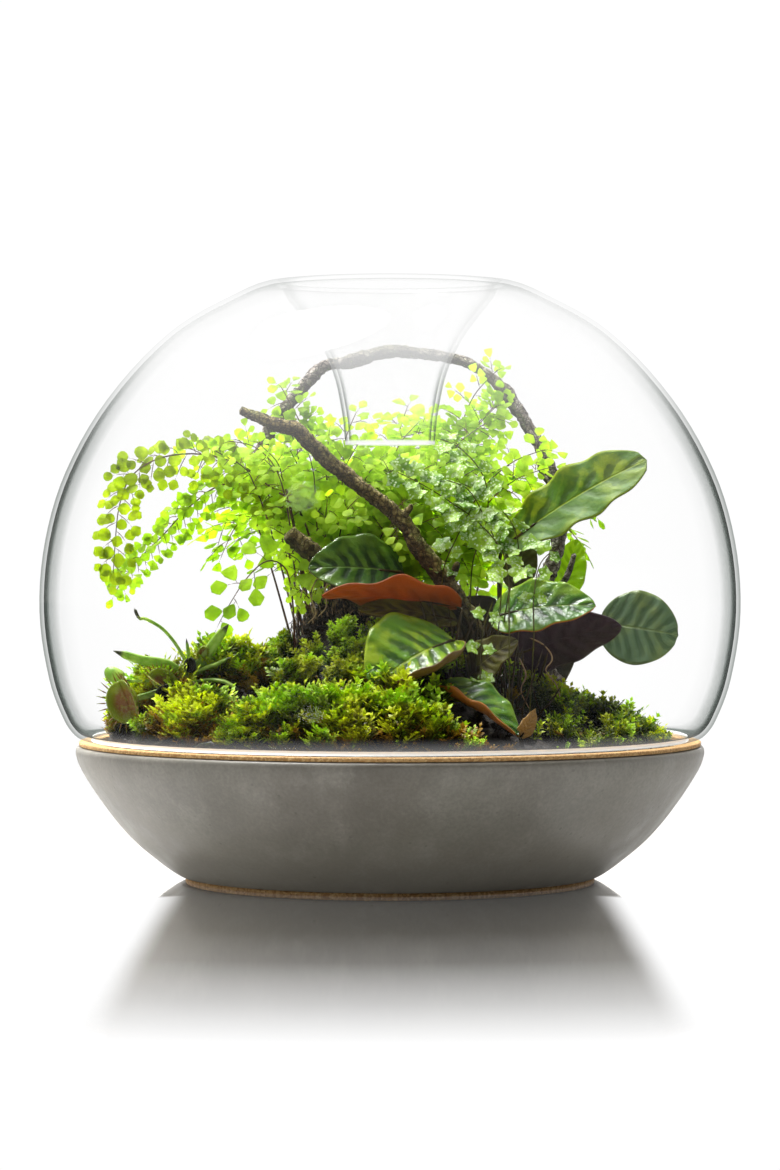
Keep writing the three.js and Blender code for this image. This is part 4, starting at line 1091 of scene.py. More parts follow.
PRAYER_LEAVES = {
    "diagonal": dict(base=(62, -8, 187), tip=(145, -30, 239), face=(-0.25, -0.8, 0.5), width=38, arch=6,
                     wave=2.6, waves=4, outline=lambda u: max(math.sin(math.pi * u**1.25), 0.0)**0.44,
                     route=[(60, -22), (62, -18, 150)], finish="leaf_green", look="leaf_streaked"),
    "far_right": dict(base=(120, 6, 146), tip=(165, 0, 139), face=(0.1, -0.95, 0.25), width=44, arch=2,
                      wave=0.8, route=[(80, 22), (98, 18, 132)], finish="leaf_blue", fold=0.05,
                      outline=lambda u: max(math.sin(math.pi * u**0.95), 0.0)**0.5),
    "right": dict(base=(57, -34, 150), tip=(115, -54, 157), face=(0, -0.75, 0.65), width=38, arch=4,
                  route=[(54, -32), (53, -33, 132)], finish="leaf_green", look="leaf_folded"),
    "right_under": dict(base=(64, -22, 126), tip=(131, -30, 145), face=(0.1, 0.8, 0.6), width=42, arch=4,
                        blunt=0.68, route=[(64, -30), (63, -25, 119)], finish="leaf_purple"),
    "front": dict(base=(36, -64, 138), tip=(-10, -94, 112), face=(-0.25, -0.82, 0.5), width=62, arch=6,
                  blunt=0.85, route=[(46, -54), (45, -59, 130)], finish="leaf_green", curl=(1, 0.30, 1.5)),
    "front_small": dict(base=(24, -78, 113), tip=(70, -104, 87), face=(0.25, -0.6, 0.76), width=32, arch=6,
                        route=[(30, -64), (26, -71, 114)], finish="leaf_green", look="leaf_folded",
                        curl=(-1, 0.25, 1.6)),
    "rust": dict(base=(40, -38, 156), tip=(-38, -62, 163), face=(0, 0.4, 0.9), width=40, arch=3, wave=2.6,
                 waves=2.5, route=[(46, -42), (46, -40, 142)], finish="leaf_rust"),
    "left": dict(base=(8, -20, 175), tip=(-46, -40, 178), face=(-0.1, -0.85, 0.5), width=42, arch=3,
                 route=[(18, -14), (14, -17, 160)], finish="leaf_dark"),
    "bent": dict(base=(44, -54, 117), tip=(71, -66, 138), face=(-0.4, -0.8, 0.4), width=24, arch=4,
                 route=[(56, -44), (53, -48, 112)], finish="leaf_rust", look="leaf_olive"),
    "upright": dict(base=(71, 0, 165), tip=(79, -2, 198), face=(0, -1, 0.1), width=20, arch=2,
                    route=[(70, 12), (70, 6, 140)], finish="leaf_dark"),
    "light": dict(base=(98, 30, 159), tip=(109, 34, 194), face=(0, -1, 0.2), width=22, arch=2,
                  route=[(96, 26), (97, 28, 130)], finish="leaf_light"),
    "back_right": dict(base=(62, 66, 152), tip=(104, 108, 158), face=(0.3, 0.2, 0.9), width=40, arch=8,
                       route=[(44, 52), (52, 58, 138)], finish="leaf_green"),
}

# painted shade: nearly black leaf shapes that fill the shade under the green leaves
SHADE_SHEET_LEAVES = {
    "shade_sheet_under_rust": dict(base=(44, 6, 136), tip=(-16, 4, 164), face=(0, -1, 0.2), width=30, arch=3),
    "shade_sheet_left": dict(base=(24, -4, 126), tip=(60, -8, 160), face=(0, -1, 0.2), width=36, arch=3),
    "shade_sheet_middle": dict(base=(52, -2, 116), tip=(94, 4, 152), face=(0.1, -1, 0.1), width=34, arch=3),
    "shade_sheet_right": dict(base=(70, 2, 108), tip=(106, 8, 130), face=(0.1, -1, 0.3), width=30, arch=3),
    "shade_sheet_low": dict(base=(34, -40, 112), tip=(62, -44, 134), face=(-0.2, -1, 0.1), width=26, arch=3),
}
LEAF_THICKNESS = 0.8
ROOT_DEPTH, STRAIGHT_FOOT = 11, 6  # how deep a stem stands, and how far it then rises upright


def rooted(route):
    """A stem's route from its hole in the soil, straight up at first, and on through its points."""
    x, y = route[0]
    ground = ground_height(x, y)
    return [(x, y, ground - ROOT_DEPTH), (x, y, ground + STRAIGHT_FOOT), *route[1:]]


def curled(offset, half, curl):
    """Where a point at offset across the blade goes when the margin beyond a line rolls up.
    curl: which side, how far out the line lies as a share of the half width, and how far it rolls."""
    side, start, turn = curl
    line = start * half
    reach = offset * side - line
    if reach <= 0:
        return offset, 0.0
    bend = (half - line) / turn
    angle = reach / bend
    return side * (line + bend * math.sin(angle)), bend * (1 - math.cos(angle))


def blade(bm, base, tip, face, width, arch, fold=0.15, wave=1.5, waves=3, blunt=0.75, curl=None,
          outline=None):
    """An oval sheet from base to tip. arch, fold and wave say how it rises in its length, towards its
    margins and along them. Returns the function that places its points."""
    start, end = Vector(base), Vector(tip)
    forward = (end - start).normalized()
    across_way = Vector(face).cross(forward).normalized()
    normal = forward.cross(across_way)
    outline = outline or (lambda u: max(math.sin(math.pi * u**blunt), 0.0) ** 0.62)

    def place(u, v):
        turn = 2 * v - 1
        half = width / 2 * outline(u)
        phase = 2 * math.pi * waves * u + (0 if turn > 0 else 1.4)
        ripple = wave * math.sin(phase) * turn * turn * math.sin(math.pi * u)
        quilt = math.cos(2 * math.pi * VEIN_PAIRS * (u - 0.2 * abs(turn))) * math.sin(math.pi * abs(turn))
        rise = arch * 4 * u * (1 - u) + fold * half * abs(turn) ** 1.5 + ripple + 0.09 * quilt
        offset, lift = curled(turn * half, half, curl) if curl and half > 0 else (turn * half, 0.0)
        return (start.lerp(end, u) + across_way * offset + normal * (rise + lift)) * MM

    verts = bent_grid(bm, across=20, along=44, place=place)
    faces = {face for vert in verts for face in vert.link_faces}
    if sum(polygon.calc_area() * polygon.normal.dot(normal) for polygon in faces) < 0:
        bmesh.ops.reverse_faces(bm, faces=list(faces))
    return place


def thicken(bm, thickness):
    """Give a sheet a wall, with the new underside in the second material."""
    upper = set(bm.faces)
    bmesh.ops.solidify(bm, geom=list(bm.faces), thickness=thickness * MM)
    for face in bm.faces:
        if face not in upper:
            face.material_index = UNDERSIDE


def prayer_leaf(route, shape):
    bm = bmesh.new()
    place = blade(bm, **shape)
    bmesh.ops.remove_doubles(bm, verts=bm.verts, dist=2e-5)
    bm.normal_update()
    thicken(bm, LEAF_THICKNESS)
    joint = [tuple(place(share, 0.5) / MM - Vector((0, 0, 0.4))) for share in (0.02, 0.12, 0.3)]
    stalk = bmesh.new()
    tube(stalk, Route([*rooted(route), *joint]), lambda u, v: 1.6 * MM * (1 - 0.5 * u), around=8, along=36)
    join(bm, stalk, LEAF_STALK)
    return bm


for name, leaf in PRAYER_LEAVES.items():
    finish = leaf.pop("finish")
    finishes = [*LEAF_FINISHES[leaf.pop("look", finish)], STALK_FINISH]
    made = prayer_leaf(leaf.pop("route"), leaf)
    finish_piece("prayer_" + name, made, finishes, finish, ["prayer_leaf_" + name])

# %% [markdown]
# Under the green leaves stand brown, nearly black leaf shapes, with many dark stalks between them. The
# leaf shapes are painted shade that fills the dark there, and the stalks are partly real leaf stalks and
# partly painted shade. An olive leaf lies below the rusty one, and a dried one stands in the moss.

# %% Dark leaf shapes and stalks, painted shade
painted_shade_finish = finish_set("leaf_painted_shade", (0.022, 0.020, 0.008), (0.008, 0.006, 0.004), (0.060, 0.050, 0.012),
                        (0.030, 0.018, 0.008), through=0.06, roughness=0.5)
for name, leaf in SHADE_SHEET_LEAVES.items():
    x, y, height = leaf["base"]
    made = prayer_leaf([(x, y), (x, y, height - 6)], leaf)
    finish_piece("prayer_" + name, made, [*painted_shade_finish, STALK_FINISH], "leaf_dark")


BELOW_RUST = dict(base=(38, -43, 148), tip=(-18, -54, 155), face=(0, -0.6, 0.8), width=25, arch=3, wave=1.4)
DRIED = dict(base=(71, -98, 86), tip=(79, -102, 101), face=(0.3, -1, 0.2), width=9, arch=3, wave=1.2)
below_rust = prayer_leaf([(40, -44), (40, -43, 138)], BELOW_RUST)
finish_piece("prayer_below_rust", below_rust, [*LEAF_FINISHES["leaf_olive"], STALK_FINISH], "leaf_rust")
dried = prayer_leaf([(72, -98), (72, -98, 84)], DRIED)
finish_piece("prayer_dried", dried, [*LEAF_FINISHES["leaf_dry"], STALK_FINISH], "leaf_rust")

# dark stalks under the leaves: partly real leaf stalks, partly painted shade
STALKS_AND_SHADE_COUNT = 46


def stalks_and_painted_shade():
    chance = random.Random(31)
    bm = bmesh.new()
    for _ in range(STALKS_AND_SHADE_COUNT):
        x, y = chance.uniform(26, 84), chance.uniform(-62, -2)
        ground = ground_height(x, y)
        top = ground + chance.uniform(22, 52)
        bend = chance.uniform(-14, 14)
        route = [*rooted([(x, y)]), (x + bend * 0.4, y - 2, (ground + top) / 2), (x + bend, y - 4, top)]
        thick = chance.uniform(0.5, 1.3)
        tube(bm, Route(route, 3), lambda u, v: thick * MM * (1.1 - 0.6 * u), around=5, along=10)
    return bm


finish_piece("stalks_and_painted_shade", stalks_and_painted_shade(), [STALK_FINISH], "leaf_dark")

# %% [markdown]
# ## Maidenhair fern
#
# Maidenhair has wiry, nearly black stalks. Side branches leave them left and right, and on those sit small
# fan-shaped leaflets, each on a hair of its own. One leaflet is made with its hair, and stamped along every
# side branch with its own size and tilt. Most fronds have sisters that follow nearly the same route, because
# the real plant is much denser than the plain solids.

# %% Fern finishes
def fern_finish(name, deep, green, bright, through):
    material, tree = new_material(name)
    place = object_place(tree)
    tone = calc(tree, "ADD", calc(tree, "MULTIPLY", clouds(tree, place, 36, 3), 0.6),
                calc(tree, "MULTIPLY", clouds(tree, place, 190, 2), 0.4))
    colour = ramp(tree, tone, [(0.38, deep), (0.48, green), (0.60, bright)])
    glow = blend(tree, 0.5, colour, bright)
    leafy(tree, colour, glow, 0.5, through, gloss=0.2)
    return material


def wiry_finish():
    material, tree = new_material("fern_stalk")
    tone = clouds(tree, object_place(tree), 80, 2)
    colour = ramp(tree, tone, [(0.3, (0.02, 0.008, 0.006)), (0.7, (0.13, 0.045, 0.02))])
    show(tree, surface(tree, {"Base Color": colour, "Roughness": 0.4}))
    return material


FERN_FINISHES = {
    "fern": fern_finish("fern_light", (0.25, 0.40, 0.012), (0.50, 0.69, 0.035), (0.74, 0.90, 0.13), 0.74),
    "fern_deep": fern_finish("fern_deep", (0.15, 0.28, 0.012), (0.34, 0.51, 0.030), (0.57, 0.75, 0.09), 0.70),
    # a darker copy of the fern for the lone hanging frond: painted shade
    "fern_painted_shade": fern_finish("fern_painted_shade", (0.13, 0.19, 0.005), (0.32, 0.43, 0.012), (0.62, 0.74, 0.035),
                              0.58),
}
wiry = wiry_finish()


# %% One leaflet on its hair
WIRY = 1  # the number of the wiry material in each frond


def leaflet_template(lobes, waist):
    """A fan one unit long from its base at the origin, out along +X, facing +Z. waist: 1 makes it round."""
    def place(angle):
        x = 0.5 + 0.5 * math.cos(angle)
        y = (0.64 - 0.12 * waist) * math.sin(angle) * (waist + (1 - waist) * x**0.8)
        rim = 1 + 0.11 * math.cos(lobes * angle)
        return Vector((x * rim, y * rim, -0.14 * y * y - 0.06 * x * x))

    bm = disc_leaf(place, segments=10, thickness=0.03, raised=0.05)
    hair = bmesh.new()
    tube(hair, Route([(-260, 0, -20), (140, 0, 10)], 1), lambda u, v: 0.022, around=3, along=2)
    join(bm, hair, WIRY)
    return template_from(bm)


FANS = [leaflet_template(lobes, 0.3) for lobes in (5, 7, 4)]
ROUNDS = [leaflet_template(lobes, 0.75) for lobes in (5, 4)]


# %% Grow a frond
BRANCH_LEAN = (48, 72)  # the angle between a side branch and its stalk, in degrees
LEAFLET_LEAN = (48, 75)


def jitter(chance, amount):
    return Vector((chance.uniform(-1, 1), chance.uniform(-1, 1), chance.uniform(-1, 1))) * amount


def side_branch(bm, chance, origin, along, face, length, size, shapes, tilt):
    """A thin rib that droops, with leaflets left and right and one at its end."""
    sideways = face.cross(along).normalized()
    drop = Vector((0, 0, -0.10 - 0.25 * chance.random()))
    reach = length * MM
    middle = origin + along * reach * 0.5 + drop * reach * 0.2
    end = origin + along * reach * 0.95 + drop * reach
    rib = Route([tuple(origin / MM), tuple(middle / MM), tuple(end / MM)], 3)
    made = bmesh.new()
    tube(made, rib, lambda u, v: 0.30 * MM * (1.1 - 0.6 * u), around=3, along=4)
    join(bm, made, WIRY)
    count = max(1, round(length / (0.55 * size)))
    for index in range(count + 1):
        share = (index + 0.8) / (count + 0.8)
        point, heading, _ = rib.at(share)
        is_end = index == count
        side = 0 if is_end else (1 if index % 2 else -1)
        turn = math.radians(0 if is_end else chance.uniform(*LEAFLET_LEAN))
        out = heading * math.cos(turn) + sideways * side * math.sin(turn)
        scale = size * (1.06 - 0.3 * share) * chance.uniform(0.8, 1.15) * MM
        facing = face + jitter(chance, tilt)
        stamp(bm, chance.choice(shapes), standing(point + out * 0.2 * scale, out, facing, scale))


def frond(bm, route, face, start, branches, reach, size, seed, shapes=FANS, tilt=0.42):
    """A stalk along route, bare as far as start, with side branches of about the length reach."""
    chance = random.Random(seed)
    line = Route(route)
    stalk = bmesh.new()
    tube(stalk, line, lambda u, v: 0.8 * MM * (1 - 0.7 * u), around=5, along=40)
    join(bm, stalk, WIRY)
    for index in range(branches):
        share = start + (0.98 - start) * (index + 0.5) / branches
        point, heading, _ = line.at(share)
        upper = (Vector(face) + jitter(chance, 0.35)).normalized()
        outward = upper.cross(heading).normalized() * (1 if index % 2 else -1)
        angle = math.radians(chance.uniform(*BRANCH_LEAN))
        along = heading * math.cos(angle) + outward * math.sin(angle)
        fullness = math.sin(math.pi * min(1.0, 0.3 + 0.65 * (index + 0.5) / branches))
        length = reach * (0.5 + 0.5 * fullness) * chance.uniform(0.85, 1.15)
        side_branch(bm, chance, point, along, upper, length, size, shapes, tilt)
    point, heading, _ = line.at(0.97)
    side_branch(bm, chance, point, heading, Vector(face), 1.3 * size, size, shapes, tilt)


FERN = {
    "left_long": dict(face=(0, -0.95, 0.3), start=0.30, branches=34, reach=12, size=7.8, finish="fern",
                      look="fern_painted_shade", sisters=0, shapes=ROUNDS, tilt=0.3,
                      route=[(-40, -2), (-46, -2, 195), (-55, 0, 215), (-66, 2, 222), (-79, 4, 232),
                             (-98, 5, 241), (-118, 4, 243), (-136, 2, 239), (-149, 0, 229), (-155, -4, 212),
                             (-157, -8, 190), (-158, -10, 172)]),
    "left_low": dict(face=(0.1, -0.85, 0.5), start=0.34, branches=50, reach=9, size=7, finish="fern_deep",
                     sisters=0, tilt=0.6,
                     route=[(-36, 12), (-51, 14, 199), (-71, 14, 218), (-94, 13, 226), (-114, 12, 214),
                            (-131, 11, 196), (-147, 10, 180), (-158, 8, 164)]),
    "left_up": dict(face=(-0.3, -0.7, 0.6), start=0.45, branches=12, reach=16, size=6.6, finish="fern",
                    sisters=0,
                    route=[(-52, -2), (-57, -4, 200), (-64, -12, 232), (-76, -20, 246), (-92, -26, 250)]),
    "back_up": dict(face=(-0.3, -0.6, 0.7), start=0.42, branches=17, reach=20, size=6.8, finish="fern",
                    sisters=1,
                    route=[(-30, 24), (-38, 34, 205), (-42, 38, 234), (-52, 40, 261), (-64, 40, 284)]),
    "centre": dict(face=(0, -0.7, 0.7), start=0.4, branches=12, reach=26, size=11, finish="fern", sisters=2,
                   shapes=ROUNDS,
                   route=[(-22, 18), (-24, 20, 194), (-18, 22, 218), (-6, 20, 230), (8, 16, 236)]),
    "behind_funnel": dict(face=(0, -0.7, 0.7), start=0.4, branches=13, reach=26, size=9, finish="fern",
                          sisters=2, route=[(-4, 40), (-3, 54, 205), (1, 66, 241), (10, 78, 272)]),
    "right_top": dict(face=(0.3, -0.7, 0.6), start=0.40, branches=20, reach=20, size=6.6, finish="fern",
                      sisters=2,
                      route=[(24, 36), (30, 40, 205), (38, 38, 246), (48, 34, 276), (64, 28, 294)]),
    "right_mid": dict(face=(0.3, -0.7, 0.6), start=0.4, branches=12, reach=19, size=8, finish="fern",
                      sisters=1, route=[(34, 22), (40, 18, 194), (52, 12, 221), (70, 8, 238), (90, 4, 246)]),
    "droop": dict(face=(-0.1, -0.9, 0.3), start=0.46, branches=6, reach=8, size=12, finish="fern_deep",
                  sisters=0, tilt=0.25,
                  route=[(-54, -16), (-58, -24, 175), (-68, -28, 182), (-80, -32, 173), (-92, -34, 155)]),
    "centre_low": dict(face=(0.2, -0.8, 0.5), start=0.38, branches=12, reach=24, size=9.5, finish="fern_deep",
                       sisters=2, route=[(-14, 4), (-13, 0, 181), (-5, -4, 199), (6, -8, 214)]),
    "back_left": dict(face=(-0.2, 0.3, 0.9), start=0.4, branches=12, reach=26, size=9, finish="fern_deep",
                      sisters=1,
                      route=[(-46, 34), (-60, 56, 190), (-76, 76, 214), (-92, 94, 214), (-102, 106, 196)]),
    "back_right": dict(face=(0.3, 0.3, 0.9), start=0.4, branches=12, reach=26, size=9, finish="fern_deep",
                       sisters=1,
                       route=[(34, 60), (56, 70, 200), (78, 78, 226), (100, 84, 230), (120, 86, 212)]),
}


SISTER_TURN = 16  # how far a sister leans away at most, in degrees
SISTER_SHRINK = (0.808, 0.98)


def sister_route(route, chance):
    """Nearly the same route: turned a little about its foot, shortened, and rooted close by."""
    turn = Matrix.Rotation(math.radians(chance.uniform(-SISTER_TURN, SISTER_TURN)), 3, "Z")
    shrink = chance.uniform(*SISTER_SHRINK)
    foot = Vector(route[0])
    moved = []
    for index, point in enumerate(route):
        offset = turn @ (Vector(point) - foot) * shrink
        moved.append(tuple(foot + offset + Vector((4, -5, 0)) * min(index, 1)))
    return moved


def fern_clump(route, sisters, seed, **shape):
    chance = random.Random(seed)
    bm = bmesh.new()
    points = rooted(route)
    frond(bm, points, seed=seed, **shape)
    for sister in range(sisters):
        frond(bm, sister_route(points, chance), seed=seed + 31 * (sister + 1), **shape)
    return bm


for number, (name, shape) in enumerate(FERN.items()):
    finish = shape.pop("finish")
    look = shape.pop("look", finish)
    clump = fern_clump(seed=500 + number, **shape)
    finishes = [FERN_FINISHES[look], wiry]
    finish_piece("maidenhair_" + name, clump, finishes, finish, ["fern_" + name], smooth=False)

# %% [markdown]
# The real fern is one dense bush. Shorter fronds fill it between the long ones: each starts near the root
# ball, rises, and leans out to a point of its own.

# %% Fill the bush
FILLING = {
    "left": dict(finish="fern", reach=11, size=6.4, branches=9, face=(-0.1, -0.85, 0.5), start=0.56,
                 tips=[(-116, 6, 247), (-102, -8, 246), (-88, 14, 252), (-76, -12, 250), (-90, 4, 240),
                       (-72, -6, 240)]),
    "low_left": dict(finish="fern", reach=7, size=6, branches=7, face=(-0.2, -0.85, 0.4), start=0.45,
                     tips=[(-66, -12, 200), (-58, -20, 186), (-54, -22, 166)]),
    "middle": dict(finish="fern", reach=20, size=7.2, branches=11, face=(0, -0.75, 0.6), start=0.4,
                   tips=[(-58, 18, 246), (-46, -6, 242), (-35, 10, 256), (-20, 0, 246), (-6, 12, 240),
                         (8, 2, 238), (22, -2, 236), (36, 6, 240), (52, 12, 236), (66, 10, 236),
                         (-62, 34, 264), (56, 22, 262), (44, 30, 258), (16, 40, 262), (-20, 44, 268)]),
    "under": dict(finish="fern", reach=19, size=7.6, branches=9, face=(0, -0.85, 0.5), start=0.4,
                  tips=[(-36, -8, 214), (-20, -14, 216), (-8, -2, 204), (6, -16, 204), (24, -10, 206),
                        (40, -6, 206), (58, 0, 208), (74, 14, 212), (52, 6, 190), (30, 8, 190), (70, 30, 190),
                        (-30, 18, 196), (-44, 8, 212)]),
}


def leaning_out(tip):
    """A route that leaves the ground between the root ball and the tip, and arches over to the tip."""
    x, y, height = tip
    foot = (0.22 * x - 30 if x < -20 else 0.63 * x - 21.8, 0.5 * y + 10)
    ground = ground_height(*foot)
    over = (foot[0] * 0.45 + x * 0.55, foot[1] * 0.45 + y * 0.55, ground + 0.86 * (height - ground))
    return rooted([foot, over, tip])


for number, (name, bush) in enumerate(FILLING.items()):
    finish, tips = bush.pop("finish"), bush.pop("tips")
    bm = bmesh.new()
    for index, tip in enumerate(tips):
        frond(bm, leaning_out(tip), seed=900 + 40 * number + index, **bush)
    finish_piece("maidenhair_filling_" + name, bm, [FERN_FINISHES[finish], wiry], finish, smooth=False)

# %% [markdown]
# ## Creeper
#
# The creeper's leaves are small and silver green, with toothed lobes and pale speckles. One leaf is a disc
# whose rim is pushed in and out, folded a little along its middle. It is stamped along each sprig in pairs.
# Three more sprigs than the plain solids have fill it out. It comes out denser than the real one.

# %% Speckled silver leaf
def creeper_finish():
    material, tree = new_material("silver_creeper")
    place = object_place(tree)
    speckles = spread(tree, cells(tree, place, 520), 0.22, 0.42, 1.0, 0.0)
    blotches = spread(tree, clouds(tree, place, 300, 4), 0.50, 0.62)
    tone = clouds(tree, place, 90, 3)
    green = ramp(tree, tone, [(0.36, (0.12, 0.29, 0.015)), (0.64, (0.42, 0.64, 0.05))])
    silvery = calc(tree, "MAXIMUM", calc(tree, "MULTIPLY", speckles, 0.85),
                   calc(tree, "MULTIPLY", blotches, 0.5))
    colour = blend(tree, silvery, green, (0.84, 0.95, 0.66))
    leafy(tree, colour, colour, 0.5, 0.45, gloss=0.25)
    return material


RIM = [1.0, 0.74, 0.80, 0.98, 0.66, 0.74, 0.90, 0.62, 0.40]


def creeper_leaf(seed):
    """Five pointed lobes. RIM gives how far the rim reaches, from the tip of the leaf round to its base."""
    chance = random.Random(seed)

    def place(angle):
        reach = RIM[round(abs(angle) / (math.pi / 8))] * chance.uniform(0.92, 1.08)
        x = 0.5 + 0.55 * math.cos(angle) * reach
        y = 0.58 * math.sin(angle) * reach
        return Vector((x, y, 0.28 * abs(y) - 0.16 * x * x))

    return template_from(disc_leaf(place, segments=16, thickness=0.035))


CREEPER_LEAVES = [creeper_leaf(seed) for seed in (1, 2, 3)]
CREEPER = {
    "front": dict(pairs=13, length=12.5, start=0.46, face=(-0.1, -0.8, 0.6),
                  route=[(66, -72), (66, -70, 150), (64, -57, 184), (50, -46, 203), (34, -38, 215),
                         (18, -34, 225), (2, -34, 233)]),
    "right": dict(pairs=3, length=10, start=0.6,
                  route=[(78, -58), (80, -64, 140), (80, -62, 160), (84, -50, 180), (94, -42, 190)]),
    "low": dict(pairs=3, length=9, route=[(50, -74), (50, -78, 130), (52, -78, 146), (57, -76, 160)]),
    "middle": dict(pairs=6, length=11.5, start=0.5,
                   route=[(46, -6), (47, -11, 180), (55, -12, 204), (54, -12, 228), (40, -10, 246),
                          (26, -10, 252)]),
}
MORE_CREEPER = [
    dict(pairs=6, length=12.5, start=0.6,
         route=[(58, -44), (62, -50, 160), (62, -50, 184), (54, -44, 204), (44, -38, 222), (30, -36, 228)]),
    dict(pairs=3, length=11.5, start=0.74,
         route=[(60, -40), (66, -44, 160), (72, -44, 184), (70, -40, 200), (62, -36, 212)]),
    dict(pairs=4, length=11, start=0.55,
         route=[(30, -28), (30, -38, 176), (38, -42, 196), (46, -42, 212)]),
]
RUNNER = 1  # the number of the stems' material in each sprig


def creeper_sprig(route, pairs, seed, length, start=0.26, face=(0, -0.7, 0.7)):
    chance = random.Random(seed)
    line = Route(rooted(route))
    bm = bmesh.new()
    tube(bm, line, lambda u, v: 0.5 * MM * (1 - 0.4 * u), around=5, along=40)
    for polygon in bm.faces:
        polygon.material_index = RUNNER
    for index in range(2 * pairs):
        share = start + (0.99 - start) * (index // 2 + 0.5) / pairs
        point, heading, _ = line.at(share)
        upper = (Vector(face) + jitter(chance, 0.4)).normalized()
        outward = upper.cross(heading).normalized() * (1 if index % 2 else -1)
        along = (heading * chance.uniform(0.1, 0.8) + outward).normalized()
        size = length * chance.uniform(0.75, 1.15) * MM
        stamp(bm, chance.choice(CREEPER_LEAVES), standing(point, along, upper, size))
    return bm


creeper_finishes = [creeper_finish(), LEAF_FINISHES["leaf_olive"][0]]
for number, (name, sprig) in enumerate(CREEPER.items()):
    made = creeper_sprig(seed=700 + number, **sprig)
    finish_piece("silver_creeper_" + name, made, creeper_finishes, "creeper", ["creeper_" + name], smooth=False)
for number, sprig in enumerate(MORE_CREEPER):
    made = creeper_sprig(seed=720 + number, **sprig)
    finish_piece(f"silver_creeper_more_{number}", made, creeper_finishes, "creeper", smooth=False)

# %% [markdown]
# ## Venus flytrap
#
# Each trap is two cupped lobes on a hinge, with a row of long teeth along the rim. A lobe is a grid bent to
# a half disc, and each tooth is a thin cone. Flat stalks carry the traps, and a bare flower stem rises
# from the middle of the plant.

# %% Flytrap finishes
def trap_finish(name, rim, middle, spots):
    """The colour goes from the middle of a lobe to its rim by the U coordinate."""
    material, tree = new_material(name)
    place = object_place(tree)
    blurred = calc(tree, "ADD", uv_place(tree)["X"], calc(tree, "MULTIPLY", clouds(tree, place, 190, 4), 0.5))
    colour = ramp(tree, calc(tree, "SUBTRACT", blurred, 0.25), [(0.45, middle), (0.80, rim)])
    speckled = blend(tree, spread(tree, clouds(tree, place, 520, 3), 0.52, 0.64, 0.0, 0.5), colour, spots)
    leafy(tree, speckled, speckled, 0.35, 0.35, bump(tree, clouds(tree, place, 380, 4), 0.3, 0.0008))
    return material


def stalk_skin():
    """Fresh green, dark where the leaf has died back at its tip: U runs along the stalk."""
    material, tree = new_material("flytrap_stalk")
    tone = clouds(tree, object_place(tree), 160, 3)
    green = ramp(tree, tone, [(0.38, (0.22, 0.40, 0.04)), (0.62, (0.46, 0.62, 0.12))])
    dead = spread(tree, uv_place(tree)["X"], 0.84, 0.92, 0.0, 0.92)
    colour = blend(tree, dead, green, (0.035, 0.025, 0.03))
    leafy(tree, colour, colour, 0.4, 0.35)
    return material


trap_skins = [trap_finish("trap_olive", (0.26, 0.33, 0.02), (0.26, 0.12, 0.02), (0.36, 0.38, 0.05)),
              trap_finish("trap_black", (0.012, 0.012, 0.010), (0.006, 0.005, 0.005), (0.03, 0.03, 0.02)),
              stalk_skin()]
OLIVE, BLACK, STALK = range(3)

CROWN_X, CROWN_Y = -112, -50
CROWN = Vector((CROWN_X, CROWN_Y, ground_height(CROWN_X, CROWN_Y) + 12))
TRAPS = [
    dict(at=(-34, -13, -12), hinge=(0.35, -0.15, -0.9), opening=(-0.50, -0.86, 0.12), radius=12.5, gape=0.7,
         look=OLIVE),
    dict(at=(-15, -15, -2), hinge=(-0.8, -0.2, 0.45), opening=(-0.2, -0.6, 0.75), radius=9, gape=0.6,
         look=OLIVE),
    dict(at=(-10, -19, -8), hinge=(-0.9, -0.2, 0.1), opening=(0.1, -0.8, -0.3), radius=8.5, gape=0.35,
         look=BLACK),
    dict(at=(7, -3, 15), hinge=(0.3, -0.2, 0.9), opening=(0.3, -0.8, 0.4), radius=4.2, gape=0.7, look=OLIVE),
    dict(at=(1, -8, 8), hinge=(0.2, -0.2, 0.9), opening=(-0.3, -0.8, 0.3), radius=4.4, gape=0.3, look=BLACK),
]
FLAT_STALKS = [
    dict(route=[(0, 0, 0), (-12, -1, 8), (-28, -2, 11), (-43, -3, 16)], width=5.6),
    dict(route=[(0, 0, 0), (-16, -6, 0), (-28, -7, -1), (-38, -7, 0)], width=1.8),
    dict(route=[(0, 0, 0), (7, -2, 10), (15, -3, 22), (22, -4, 31)], width=6.4),
    dict(route=[(0, 0, 0), (8, -5, 6), (16, -8, 9), (24, -9, 13)], width=4.6),
    dict(route=[(0, 0, -2), (12, -9, 0), (20, -13, -1), (29, -16, -6)], width=4.2),
    dict(route=[(0, 0, -4), (-8, -7, -4), (-20, -11, -8), (-33, -13, -11)], width=4.5),
    dict(route=[(0, 0, -4), (-6, -8, -3), (-12, -14, -2)], width=5),
    dict(route=[(0, 0, 0), (4, -2, 8), (7, -3, 14)], width=3),
    dict(route=[(0, 0, 0), (-0.5, -1, 12), (-2, -1, 23)], width=2.2),
]
FLOWER_STEM = [(0, 0, 0), (-4, 0, 13), (-14, -1, 27), (-25, -3, 34), (-28, -4, 34), (-31, -4, 40)]
ROUND_LEAF = dict(middle=(-42, -8, 3), width=11.5)
TEETH = 13


def from_crown(reach):
    return tuple(CROWN + Vector(reach))


